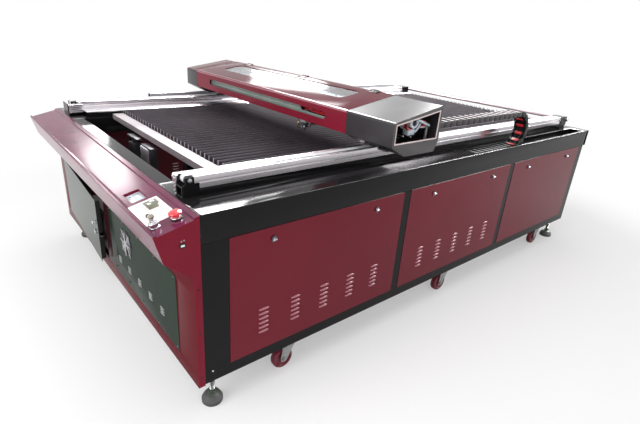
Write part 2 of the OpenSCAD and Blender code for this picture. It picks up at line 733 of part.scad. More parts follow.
module chain_run() color([0.05, 0.05, 0.05]) placed()
    block([chain_x0, gantry_y + gantry_d, chain_low + 2 * chain_r],
          [chain_x0 + chain_w, bend_y, chain_low + 2 * chain_r + chain_h]);

module chain_bend() color([0.05, 0.05, 0.05]) placed() {
    block([chain_x0, run_y0, chain_low], [chain_x0 + chain_w, bend_y + 0.1, chain_low + chain_h]);
    translate([chain_x0, bend_y, chain_low + chain_h / 2 + chain_r]) rotate([90, 0, 90])
        rotate([0, 0, -90]) rotate_extrude(angle = 180, $fn = 96)
            translate([chain_r - chain_h / 2, 0]) square([chain_h, chain_w]);
}

// ---- castors and feet ----

module at_castor(side, i) placed() on_side(side) translate([castor_x, castor_ys[i - 1], 0]) children();
axle_z = wheel_r - floor_gap;

module castor_fork(side, i) color([0.7, 0.71, 0.72]) at_castor(side, i) {
    translate([0, 0, -6]) cylinder(h = 26, r = stem_r, $fn = 32);
    translate([0, 0, -16]) cylinder(h = 16 - plate_t - 1, r = 27, $fn = 48);
    block([-fork_w / 2 - cheek_t, -34, -20], [fork_w / 2 + cheek_t, 30, -14]);
    for (x = [-fork_w / 2 - cheek_t, fork_w / 2])
        along_x(x, x + cheek_t) polygon([
            [30, -14], [30, -26], [12, -52], [-castor_trail + 15, axle_z - 12],
            [-castor_trail + 8, axle_z - 16], [-castor_trail - 8, axle_z - 16],
            [-castor_trail - 15, axle_z - 10], [-castor_trail - 17, axle_z + 10], [-44, -30],
            [-34, -14]]);
    translate([-fork_w / 2 - cheek_t - 6, -castor_trail, axle_z]) rotate([0, 90, 0])
        cylinder(h = fork_w + 2 * cheek_t + 12, r = axle_r, $fn = 32);
    for (x = [-fork_w / 2 - cheek_t - 6, fork_w / 2 + cheek_t])
        translate([x, -castor_trail, axle_z]) rotate([0, 90, 0]) cylinder(h = 6, r = 10, $fn = 6);
}

module castor_wheel(side, i) color([0.75, 0.1, 0.12]) at_castor(side, i)
    translate([0, -castor_trail, axle_z]) rotate([0, 90, 0]) rotate_extrude($fn = 96)
        polygon([[axle_r + run_fit, -wheel_w / 2 - 2], [14, -wheel_w / 2 - 2], [16, -wheel_w / 2 + 5],
                 [wheel_r - 14, -wheel_w / 2 + 5], [wheel_r - 12, -wheel_w / 2],
                 [wheel_r - 3, -wheel_w / 2], [wheel_r, -wheel_w / 2 + 5],
                 [wheel_r, wheel_w / 2 - 5], [wheel_r - 3, wheel_w / 2],
                 [wheel_r - 12, wheel_w / 2], [wheel_r - 14, wheel_w / 2 - 5],
                 [16, wheel_w / 2 - 5], [14, wheel_w / 2 + 2], [axle_r + run_fit, wheel_w / 2 + 2]]);

module castor_plates() color([0.7, 0.71, 0.72]) placed() both_sides() for (y = castor_ys)
    translate([castor_x, y, -plate_t]) difference() {
        block([-38, -44, 0], [38, 44, plate_t - weld_gap]);
        translate([0, 0, -cut]) cylinder(h = plate_t + 2 * cut, r = stem_r + run_fit, $fn = 32);
    }

module levelling_feet() color([0.25, 0.27, 0.25]) placed() both_sides() for (y = foot_ys)
    translate([foot_x, y, 0]) {
        rotate_extrude($fn = 64) polygon([
            [0, -floor_gap], [pad_r - 2, -floor_gap], [pad_r, -floor_gap + 4],
            [pad_r, -floor_gap + 18], [pad_r - 12, -floor_gap + 38], [14, -floor_gap + 46],
            [0, -floor_gap + 46]]);
        translate([0, 0, -floor_gap + 40]) cylinder(h = floor_gap - 20, r = foot_stem_r, $fn = 48);
        translate([0, 0, -floor_gap + 46]) cylinder(h = 12, r = 17, $fn = 6);
        translate([0, 0, -14]) cylinder(h = 14, r = 17, $fn = 6);
    }

frame_tubes();
side_beams();
end_beams();
front_cover();
rear_cover();
console();
control_panels();
rail_supports();
guide_rails();
table_beams();
slats();
power_supply();
union() {  // feet_and_castor_plates
    levelling_feet();
    castor_plates();
}
front_vent_panel();
fan_unit();
fan_rotor();
front_door();
front_door_lock();
estop_button();
key_switch();
gantry_frame();
gantry_cover();
gantry_lid();
laser_tube();
head_carriage();
lens_tube();
chain_run();
chain_bend();
for (s = SIDES)
    idler(s);
for (s = SIDES, i = [1 : door_count])
    side_door(s, i);
for (s = SIDES, i = [1 : door_count], e = ["a", "b"])
    side_lock(s, i, e);
for (s = SIDES, i = [1 : 3])
    castor_fork(s, i);
for (s = SIDES, i = [1 : 3])
    castor_wheel(s, i);
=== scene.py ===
"""Finishes, fine detail, light and camera for a large flatbed laser cutter.

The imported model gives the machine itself. Here each sub-assembly is a class that dresses its own
nodes and adds the pieces too fine for the model: louvre hoods, keys, belts, chain links, fittings.
Places are given in millimetres, right of the machine's middle, behind the frame's front and above
its underside, and MACHINE and stand() turn them into the model's metres.
"""

import json
import logging
import math
from dataclasses import dataclass
from enum import Enum
from typing import Callable, Iterable, Sequence

import bmesh
import bpy
from mathutils import Matrix, Vector

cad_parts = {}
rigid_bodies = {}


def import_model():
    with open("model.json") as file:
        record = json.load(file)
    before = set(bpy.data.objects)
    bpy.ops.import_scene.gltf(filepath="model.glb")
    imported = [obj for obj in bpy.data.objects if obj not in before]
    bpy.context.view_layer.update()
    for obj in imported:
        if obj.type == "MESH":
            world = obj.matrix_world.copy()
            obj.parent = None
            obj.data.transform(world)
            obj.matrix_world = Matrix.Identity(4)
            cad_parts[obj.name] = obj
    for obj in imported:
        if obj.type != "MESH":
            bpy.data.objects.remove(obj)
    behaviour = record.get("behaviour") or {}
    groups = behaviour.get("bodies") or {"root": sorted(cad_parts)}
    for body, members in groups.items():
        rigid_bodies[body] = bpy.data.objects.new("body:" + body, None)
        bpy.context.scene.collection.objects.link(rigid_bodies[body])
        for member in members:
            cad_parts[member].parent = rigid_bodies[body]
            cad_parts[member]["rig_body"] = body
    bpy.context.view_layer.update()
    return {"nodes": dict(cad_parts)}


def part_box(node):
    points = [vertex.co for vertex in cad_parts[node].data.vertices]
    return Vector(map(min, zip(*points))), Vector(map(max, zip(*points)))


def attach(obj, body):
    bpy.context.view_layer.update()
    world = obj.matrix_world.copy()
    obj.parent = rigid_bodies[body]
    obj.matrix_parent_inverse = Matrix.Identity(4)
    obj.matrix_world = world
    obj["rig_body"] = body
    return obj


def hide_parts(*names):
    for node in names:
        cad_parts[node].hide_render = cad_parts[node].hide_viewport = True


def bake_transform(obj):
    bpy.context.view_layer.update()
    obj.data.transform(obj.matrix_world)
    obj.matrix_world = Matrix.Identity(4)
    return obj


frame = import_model()

LOG = logging.getLogger("laser_cutter")
MM = 0.001

HALF_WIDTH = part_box("console")[1].x / MM
FRAME_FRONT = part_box("side_beams")[0].y
FRAME_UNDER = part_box("frame_tubes")[0].z

Pair = tuple[float, float]
Point = tuple[float, float, float]
Colour = tuple[float, float, float]
Outline = Sequence[Pair]
Chooser = Callable[[Vector], int]

# Edges sharper than these, in degrees, stay sharp: on added pieces, on dressed nodes, and on
# pressed sheet, whose bends shade on into the flat beside them
ADDED_SHARP = 35.0
DRESSED_SHARP = 14.0
PRESSED_SHARP = 38.0

# Edges that turn by more than these, in degrees, are rounded
ADDED_BEVEL_FROM = 25.0
DRESSED_BEVEL_FROM = 30.0

# Millimetres right of the middle, behind the frame's front and above its underside
MACHINE = Matrix.Translation((0, FRAME_FRONT, FRAME_UNDER)) @ Matrix.Scale(MM, 4)


def machine_y(node: str, high: bool = False) -> float:
    """Return a node's nearest or furthest place behind the frame's front, in millimetres."""
    return (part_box(node)[int(high)].y - FRAME_FRONT) / MM


def machine_z(node: str, high: bool = True) -> float:
    """Return a node's top or underside above the frame's underside, in millimetres."""
    return (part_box(node)[int(high)].z - FRAME_UNDER) / MM


def stand(x: float, y: float, z: float, turn: float = 0.0, tilt: float = 0.0) -> Matrix:
    """Return a local frame on the machine, turned about Z and then tilted about its own X.

    Args:
        x: Its origin, right of the middle.
        y: Its origin, behind the frame's front.
        z: Its origin, above the frame's underside.
        turn: Degrees about Z.
        tilt: Degrees about the turned X.

    Returns:
        The matrix from its millimetres to the row frame.
    """
    return (MACHINE @ Matrix.Translation((x, y, z)) @ Matrix.Rotation(math.radians(turn), 4, "Z")
            @ Matrix.Rotation(math.radians(tilt), 4, "X"))


def srgb(red: int, green: int, blue: int) -> Colour:
    """Turn an sRGB colour into a linear one.

    Args:
        red: Its red, from 0 to 255.
        green: Its green.
        blue: Its blue.

    Returns:
        The linear colour.
    """
    def linear(level: int) -> float:
        """Return one channel's linear level."""
        share = level / 255
        return share / 12.92 if share <= 0.04045 else ((share + 0.055) / 1.055) ** 2.4

    return linear(red), linear(green), linear(blue)


class Side(Enum):
    """The machine's two long sides, with the sign of their X."""

    RIGHT = 1
    LEFT = -1

    @property
    def word(self) -> str:
        """The side's name as it stands in node names."""
        return self.name.lower()


# ---------------------------------------------------------------- materials


class Effect(Enum):
    """Shader groups that several finishes share."""

    TONE = "drifting_tone"
    PEEL = "paint_peel"
    GRAIN = "drawn_grain"
    SMUDGE = "smudged_gloss"
    DUST = "settled_dust"


_effects: dict[Effect, bpy.types.NodeTree] = {}


class Wiring:
    """A node tree being wired up."""

    def __init__(self, tree: bpy.types.NodeTree) -> None:
        """Start on an empty tree."""
        self.tree = tree

    def node(self, kind: str, inputs: dict | None = None, **settings: object) -> bpy.types.Node:
        """Add a node, set its properties, and set or link its inputs.

        Args:
            kind: The node's type name.
            inputs: Values or output sockets by input name or number.
            **settings: Properties of the node.

        Returns:
            The new node.
        """
        made = self.tree.nodes.new(kind)
        for name, value in settings.items():
            setattr(made, name, value)
        for key, value in (inputs or {}).items():
            if isinstance(value, bpy.types.NodeSocket):
                self.tree.links.new(value, made.inputs[key])
            else:
                made.inputs[key].default_value = value
        return made

    def math(self, operation: str, first: object, second: object = 0.0) -> bpy.types.NodeSocket:
        """Return the output of a Math node on two values or sockets."""
        return self.node("ShaderNodeMath", {0: first, 1: second}, operation=operation).outputs[0]

    def mix(self, share: bpy.types.NodeSocket, first: object, second: object) -> bpy.types.NodeSocket:
        """Return the first colour turned into the second by a share."""
        return self.node("ShaderNodeMix", {"Factor": share, 6: first, 7: second},
                         data_type="RGBA").outputs[2]

    def spread(self, value: bpy.types.NodeSocket, low: float,
               high: float) -> bpy.types.NodeSocket:
        """Return a value spread out so that low gives 0 and high gives 1."""
        return self.node("ShaderNodeMapRange", {
            "Value": value, "From Min": low, "From Max": high}).outputs["Result"]

    def link(self, output: bpy.types.NodeSocket, target: bpy.types.NodeSocket) -> None:
        """Join an output to an input."""
        self.tree.links.new(output, target)

    def where(self) -> bpy.types.NodeSocket:
        """Return the place on the object."""
        return self.node("ShaderNodeTexCoord").outputs["Object"]

    def effect(self, effect: Effect, inputs: dict) -> bpy.types.Node:
        """Place a shared group with its own values."""
        return self.node("ShaderNodeGroup", inputs, node_tree=_effects[effect])


def _new_group(effect: Effect, inputs: dict[str, str],
               outputs: dict[str, str]) -> tuple[Wiring, dict, dict]:
    """Make an empty shader group with its sockets.

    Args:
        effect: Which effect it is.
        inputs: Socket type by input name.
        outputs: Socket type by output name.

    Returns:
        The wiring, what the group is given and what it gives.
    """
    tree = bpy.data.node_groups.new(effect.value, "ShaderNodeTree")
    for name, kind in inputs.items():
        tree.interface.new_socket(name, in_out="INPUT", socket_type=f"NodeSocket{kind}")
    for name, kind in outputs.items():
        tree.interface.new_socket(name, in_out="OUTPUT", socket_type=f"NodeSocket{kind}")
    wiring = Wiring(tree)
    _effects[effect] = tree
    return wiring, wiring.node("NodeGroupInput").outputs, wiring.node("NodeGroupOutput").inputs


def _build_tone() -> None:
    """Let a colour drift to its shade in broad clouds."""
    wiring, given, result = _new_group(
        Effect.TONE, {"Colour": "Color", "Shade": "Color", "Scale": "Float"}, {"Colour": "Color"})
    cloud = wiring.node("ShaderNodeTexNoise", {
        "Vector": wiring.where(), "Scale": given["Scale"], "Detail": 4.0, "Roughness": 0.55})
    share = wiring.spread(cloud.outputs["Fac"], 0.32, 0.68)
    wiring.link(wiring.mix(share, given["Colour"], given["Shade"]), result["Colour"])


def _build_peel() -> None:
    """Raise the fine orange peel of sprayed paint on the slow waves of the sheet under it."""
    wiring, given, result = _new_group(Effect.PEEL, {"Scale": "Float"}, {"Height": "Float"})
    where = wiring.where()
    fine = wiring.node("ShaderNodeTexNoise", {
        "Vector": where, "Scale": given["Scale"], "Detail": 2.0})
    broad = wiring.node("ShaderNodeTexNoise", {"Vector": where, "Scale": 5.0, "Detail": 1.0})
    waves = wiring.math("MULTIPLY", broad.outputs["Fac"], 6.0)
    wiring.link(wiring.math("ADD", fine.outputs["Fac"], waves), result["Height"])


def _build_grain() -> None:
    """Draw noise out into the lines of drawn or brushed metal."""
    wiring, given, result = _new_group(
        Effect.GRAIN, {"Stretch": "Vector", "Scale": "Float"}, {"Height": "Float", "Mask": "Float"})
    drawn = wiring.node("ShaderNodeVectorMath", {0: wiring.where(), 1: given["Stretch"]},
                        operation="MULTIPLY")
    lines = wiring.node("ShaderNodeTexNoise", {
        "Vector": drawn.outputs[0], "Scale": given["Scale"], "Detail": 5.0}).outputs["Fac"]
    wiring.link(lines, result["Height"])
    wiring.link(wiring.spread(lines, 0.35, 0.65), result["Mask"])


def _build_smudge() -> None:
    """Dull a gloss here and there, as hands do."""
    wiring, given, result = _new_group(
        Effect.SMUDGE, {"Gloss": "Float", "Spread": "Float", "Scale": "Float"}, {"Roughness": "Float"})
    rubbed = wiring.node("ShaderNodeTexNoise", {
        "Vector": wiring.where(), "Scale": given["Scale"], "Detail": 6.0, "Distortion": 0.6})
    spread = wiring.math("MULTIPLY", rubbed.outputs["Fac"], given["Spread"])
    wiring.link(wiring.math("ADD", spread, given["Gloss"]), result["Roughness"])


def _build_dust() -> None:
    """Settle dust on the faces that look upwards."""
    wiring, given, result = _new_group(
        Effect.DUST, {"Colour": "Color", "Dust": "Color", "Amount": "Float"}, {"Colour": "Color"})
    coordinates = wiring.node("ShaderNodeTexCoord").outputs
    upward = wiring.node("ShaderNodeSeparateXYZ", {0: coordinates["Normal"]})
    facing = wiring.spread(upward.outputs["Z"], 0.35, 1.0)
    specks = wiring.node("ShaderNodeTexNoise", {
        "Vector": coordinates["Object"], "Scale": 38.0, "Detail": 8.0, "Roughness": 0.7})
    layer = wiring.spread(specks.outputs["Fac"], 0.35, 0.75)
    share = wiring.math("MULTIPLY", wiring.math("MULTIPLY", facing, layer), given["Amount"])
    wiring.link(wiring.mix(share, given["Colour"], given["Dust"]), result["Colour"])


def build_effects() -> None:
    """Build the shared shader groups once."""
    for build in (_build_tone, _build_peel, _build_grain, _build_smudge, _build_dust):
        build()


@dataclass(frozen=True)
class Finish:
    """A surface: its tone from 0 to 255, its gloss, its fine relief and the dust on it."""

    name: str
    slot: str
    colour: tuple[int, int, int]
    shade: tuple[int, int, int]
    roughness: float
    spread: float = 0.08
    tone_scale: float = 1.6
    metallic: float = 0.0
    coat: float = 0.0
    coat_roughness: float = 0.05
    specular: float = 0.5
    peel: float = 0.0
    peel_scale: float = 260.0
    grain: Point | None = None
    grain_scale: float = 60.0
    grain_depth: float = 0.0
    grain_shade: float = 0.0
    dust: float = 0.0
    dust_colour: Colour = (0.45, 0.42, 0.40)

    def material(self) -> bpy.types.Material:
        """Return this finish's material, built the first time it is asked for."""
        return bpy.data.materials.get(self.name) or self._build()

    def _build(self) -> bpy.types.Material:
        """Wire the material from the shared groups.

        Returns:
            The new material.
        """
        made = bpy.data.materials.new(self.name)
        made.use_nodes = True
        tone, shade = srgb(*self.colour), srgb(*self.shade)
        made.diffuse_color = (*tone, 1.0)
        wiring = Wiring(made.node_tree)
        shader = made.node_tree.nodes["Principled BSDF"].inputs
        shader["Metallic"].default_value = self.metallic
        shader["Coat Weight"].default_value = self.coat
        shader["Coat Roughness"].default_value = self.coat_roughness
        shader["Specular IOR Level"].default_value = self.specular
        colour = wiring.effect(Effect.TONE, {
            "Colour": (*tone, 1), "Shade": (*shade, 1), "Scale": self.tone_scale,
        }).outputs["Colour"]
        grain = None
        if self.grain:
            grain = wiring.effect(Effect.GRAIN, {
                "Stretch": self.grain, "Scale": self.grain_scale}).outputs
        if grain and self.grain_shade:
            dark = tuple(level * (1 - self.grain_shade) for level in tone)
            colour = wiring.mix(grain["Mask"], colour, (*dark, 1))
        if self.dust:
            colour = wiring.effect(Effect.DUST, {
                "Colour": colour, "Dust": (*self.dust_colour, 1), "Amount": self.dust,
            }).outputs["Colour"]
        wiring.link(colour, shader["Base Color"])
        gloss = wiring.effect(Effect.SMUDGE, {
            "Gloss": self.roughness, "Spread": self.spread, "Scale": 7.0})
        wiring.link(gloss.outputs["Roughness"], shader["Roughness"])
        if self.peel or self.grain_depth:
            if self.peel:
                height = wiring.effect(Effect.PEEL, {"Scale": self.peel_scale}).outputs[0]
            else:
                height = grain["Height"]
            bump = wiring.node("ShaderNodeBump", {
                "Height": height, "Strength": self.peel or self.grain_depth, "Distance": 0.0004})
            wiring.link(bump.outputs["Normal"], shader["Normal"])
        return made


@dataclass(frozen=True)
class GlassFinish:
    """Clear or tinted glass with faint smears."""

    name: str
    slot: str
    tint: Colour
    roughness: float = 0.02

    def material(self) -> bpy.types.Material:
        """Return the glass, built the first time it is asked for."""
        return bpy.data.materials.get(self.name) or self._build()

    def _build(self) -> bpy.types.Material:
        """Wire the glass and its smears.

        Returns:
            The new material.
        """
        made = bpy.data.materials.new(self.name)
        made.use_nodes = True
        wiring = Wiring(made.node_tree)
        shader = made.node_tree.nodes["Principled BSDF"].inputs
        shader["Base Color"].default_value = (*self.tint, 1)
        shader["Metallic"].default_value = 0.0
        shader["Transmission Weight"].default_value = 1.0
        shader["IOR"].default_value = 1.46
        smear = wiring.effect(Effect.SMUDGE, {"Gloss": self.roughness, "Spread": 0.05, "Scale": 9.0})
        wiring.link(smear.outputs["Roughness"], shader["Roughness"])
        return made


Surface = Finish | GlassFinish

MAROON = Finish("maroon_enamel", "maroon_paint", (112, 24, 40), (102, 20, 35), 0.17, spread=0.05,
                specular=0.16, peel=0.04)
PLUM = Finish("console_enamel", "maroon_paint", (118, 48, 78), (98, 38, 66), 0.12, spread=0.06,
              specular=0.20, peel=0.03, tone_scale=4.0)
# Partly painted reflection: the vent panel's paint is dark, and its green tint stands in for a
# green-grey floor reflected in it
VENT_PANEL_PAINTED_REFLECTION = Finish("green_black_enamel", "green_black_paint", (44, 56, 47), (36, 46, 39), 0.12,
                     spread=0.04, specular=0.012, peel=0.03)
BLACK = Finish("glossy_black", "black_enamel", (25, 24, 26), (20, 19, 21), 0.08, spread=0.05,
               specular=0.12, peel=0.03, dust=0.02)
GANTRY_BLACK = Finish("gantry_black", "black_enamel", (54, 50, 53), (44, 41, 44), 0.30, spread=0.1,
                      peel=0.08, coat=0.1, coat_roughness=0.2, tone_scale=3.0)
MATT_BLACK = Finish("matt_black", "black_plastic", (30, 30, 31), (22, 22, 23), 0.55, specular=0.18,
                    peel=0.2, peel_scale=500.0)
ALUMINIUM = Finish("drawn_aluminium", "aluminium", (228, 224, 228), (206, 200, 204), 0.2,
                   metallic=1.0, grain=(8.0, 0.05, 8.0), grain_depth=0.05, grain_shade=0.08)
ALLOY = Finish("cast_alloy", "aluminium", (190, 190, 193), (160, 160, 163), 0.30, metallic=1.0,
               peel=0.2, peel_scale=400.0)
TABLE_PAINT = Finish("table_paint", "table_steel", (144, 134, 138), (120, 110, 115), 0.34,
                     metallic=0.25, specular=0.35, peel=0.06, dust=0.1, tone_scale=6.0)
SCORCHED = Finish("scorched_steel", "slat_steel", (86, 78, 85), (52, 46, 51), 0.34, metallic=0.35,
                  tone_scale=3.0, grain=(6.0, 0.4, 3.0), grain_depth=0.1, grain_shade=0.2)
CASE_GREY = Finish("grey_case_paint", "case_grey", (150, 152, 146), (132, 134, 128), 0.40,
                   peel=0.15, dust=0.3)
ZINC = Finish("zinc_plate", "zinc", (178, 180, 180), (140, 143, 144), 0.28, metallic=1.0,
              tone_scale=22.0, grain=(14.0, 14.0, 3.0), grain_depth=0.15, grain_shade=0.2)
IRON = Finish("foot_iron", "zinc", (96, 104, 96), (70, 76, 70), 0.42, metallic=0.55,
              tone_scale=18.0, peel=0.3, peel_scale=300.0)
CHROME = Finish("bright_chrome", "chrome", (222, 222, 226), (200, 200, 206), 0.07, metallic=1.0,
                spread=0.05, peel=0.02)
WHITE_PANEL = Finish("panel_white", "white_panel", (236, 235, 234), (226, 224, 224), 0.30,
                     peel=0.05, coat=0.2)
RED = Finish("signal_red", "red_plastic", (222, 22, 40), (205, 16, 32), 0.12, peel=0.05,
             spread=0.03, coat=1.0, coat_roughness=0.03)
RED_SILICONE = Finish("red_silicone", "red_plastic", (190, 26, 36), (160, 18, 28), 0.35)
WHITE_BELT = Finish("white_belt", "white_panel", (212, 214, 216), (190, 192, 195), 0.30,
                    grain=(1.0, 40.0, 1.0), grain_depth=0.1, coat=0.3)
RUBBER = Finish("black_rubber", "black_plastic", (26, 26, 27), (20, 20, 21), 0.6, peel=0.3,
                peel_scale=700.0)
SCREEN = Finish("screen_glass", "black_plastic", (120, 118, 96), (88, 92, 72), 0.08,
                tone_scale=18.0, coat=0.3)
KEY_PALE = Finish("key_pale", "white_panel", (206, 214, 222), (196, 204, 214), 0.4)
KEY_ROSE = Finish("key_rose", "white_panel", (226, 196, 198), (216, 184, 188), 0.4)
GREEN_WIRE = Finish("green_wire", "black_plastic", (54, 96, 60), (40, 76, 46), 0.4)
CONSOLE_END = Finish("console_end_enamel", "maroon_paint", (122, 24, 44), (112, 20, 38), 0.2,
                     spread=0.05, peel=0.04, specular=0.12)
FRONT_MAROON = Finish("front_enamel", "maroon_paint", (98, 34, 40), (88, 29, 35), 0.16, spread=0.05,
                      peel=0.04, specular=0.015)
# Painted highlight: the maroon louvre hoods are pale pink to stand in for the light caught on their
# edges
LOUVRE_PAINTED_HIGHLIGHT = Finish("louvre_enamel", "maroon_paint", (178, 112, 124), (160, 96, 108), 0.25,
                       peel=0.05, specular=0.4)
GANTRY_MAROON = Finish("gantry_enamel", "maroon_paint", (126, 30, 48), (110, 24, 42), 0.16,
                       spread=0.05, peel=0.04, specular=0.16)
LID_MAROON = Finish("lid_enamel", "maroon_paint", (104, 28, 43), (86, 21, 34), 0.09, spread=0.05,
                    peel=0.04, specular=0.06)
# Partly painted reflection: the front door's paint is dark, and its green tint stands in for a
# green-grey floor reflected in it
FRONT_DOOR_PAINTED_REFLECTION = Finish("door_enamel", "green_black_paint", (46, 60, 50), (40, 50, 43), 0.14,
                    spread=0.04, peel=0.03, specular=0.09, tone_scale=2.5)
# Painted highlight: the vent panel's louvre hoods are pale grey to stand in for the light caught on
# them
FRONT_LOUVRE_PAINTED_HIGHLIGHT = Finish("louvre_bright", "green_black_paint", (168, 172, 170), (150, 155, 152), 0.3,
                      peel=0.05)
GUARD = Finish("guard_wire", "chrome", (206, 206, 208), (150, 150, 154), 0.22, metallic=1.0)
READOUT = Finish("readout_plate", "white_panel", (214, 222, 232), (196, 206, 220), 0.24, coat=0.4)
PALE_GLASS = Finish("pale_glass", "white_panel", (206, 216, 224), (184, 198, 210), 0.12, coat=0.8)
KEY_STEEL = Finish("key_steel", "chrome", (196, 188, 176), (160, 150, 138), 0.2, metallic=1.0,
                   tone_scale=30.0)
COMB = Finish("comb_steel", "slat_steel", (84, 80, 84), (60, 56, 60), 0.45, metallic=0.6,
              tone_scale=12.0)
BRASS = Finish("worn_brass", "zinc", (178, 152, 104), (150, 124, 80), 0.28, metallic=1.0,
               tone_scale=20.0)
# Dark maroon. On the front cover's jamb between the door and the vent panel it is painted shade,
# standing in for the shade and the door's dark reflection there; the lid's hinge plates wear it too
DARK_MAROON_AND_PAINTED_SHADE = Finish("shaded_enamel", "maroon_paint", (48, 18, 26), (38, 14, 20), 0.2, specular=0.1,
              peel=0.04)
PIN_STEEL = Finish("pin_steel", "slat_steel", (196, 190, 196), (160, 154, 160), 0.35, metallic=0.5,
                   tone_scale=20.0)
SHIELD_GREY = Finish("shield_enamel", "aluminium", (136, 146, 140), (112, 122, 117), 0.3,
                     metallic=0.2, peel=0.05, tone_scale=5.0)
# Painted highlight: the lid's rolled front edge is pale pink enamel to stand in for the light along the
# bend
ROLLED_EDGE_PAINTED_HIGHLIGHT = Finish("rolled_enamel", "maroon_paint", (176, 116, 128), (150, 92, 104), 0.12,
                       spread=0.05, peel=0.03, specular=0.6)
SHAFT_STEEL = Finish("shaft_steel", "zinc", (170, 150, 154), (140, 122, 126), 0.35, metallic=0.4,
                     tone_scale=8.0)
TYRE = Finish("castor_tyre", "red_wheel", (116, 22, 44), (96, 18, 36), 0.4, peel=0.2)
LOCK_STEEL = Finish("lock_steel", "chrome", (118, 116, 120), (90, 88, 92), 0.28, metallic=1.0,
                    tone_scale=30.0)
TRIM = Finish("pale_trim", "zinc", (222, 204, 202), (206, 186, 186), 0.35, coat=0.2)
PALE_METAL = Finish("pale_metal", "zinc", (206, 204, 208), (180, 178, 184), 0.32, metallic=0.7)
DARK_METAL = Finish("dark_metal", "black_enamel", (60, 58, 62), (44, 42, 46), 0.4, metallic=0.4)
DISCHARGE_TUBE = Finish("discharge_tube", "tube_glass", (128, 138, 132), (108, 118, 112), 0.2,
                        coat=0.6)
CHAIN_BLACK = Finish("chain_nylon", "black_plastic", (56, 51, 54), (46, 42, 44), 0.5, specular=0.25,
                     peel=0.1)
CHAIN_GREY = Finish("chain_bar_grey", "black_plastic", (146, 128, 133), (122, 106, 111), 0.45)
CHAIN_RED = Finish("chain_bar_red", "red_plastic", (214, 40, 46), (190, 30, 38), 0.4)
FOOT_BLACK = Finish("foot_rubber", "black_plastic", (74, 73, 75), (58, 57, 59), 0.5, peel=0.3,
                    tone_scale=16.0, dust=0.3)
CASTOR_PEDAL = Finish("castor_pedal", "red_wheel", (196, 34, 40), (170, 26, 32), 0.35)
TUBE_GLASS = GlassFinish("clear_glass", "tube_glass", (0.86, 0.93, 0.92))
PANE_GLASS = GlassFinish("lid_acrylic", "tube_glass", (0.82, 0.86, 0.92), 0.04)


# ---------------------------------------------------------------- mesh work


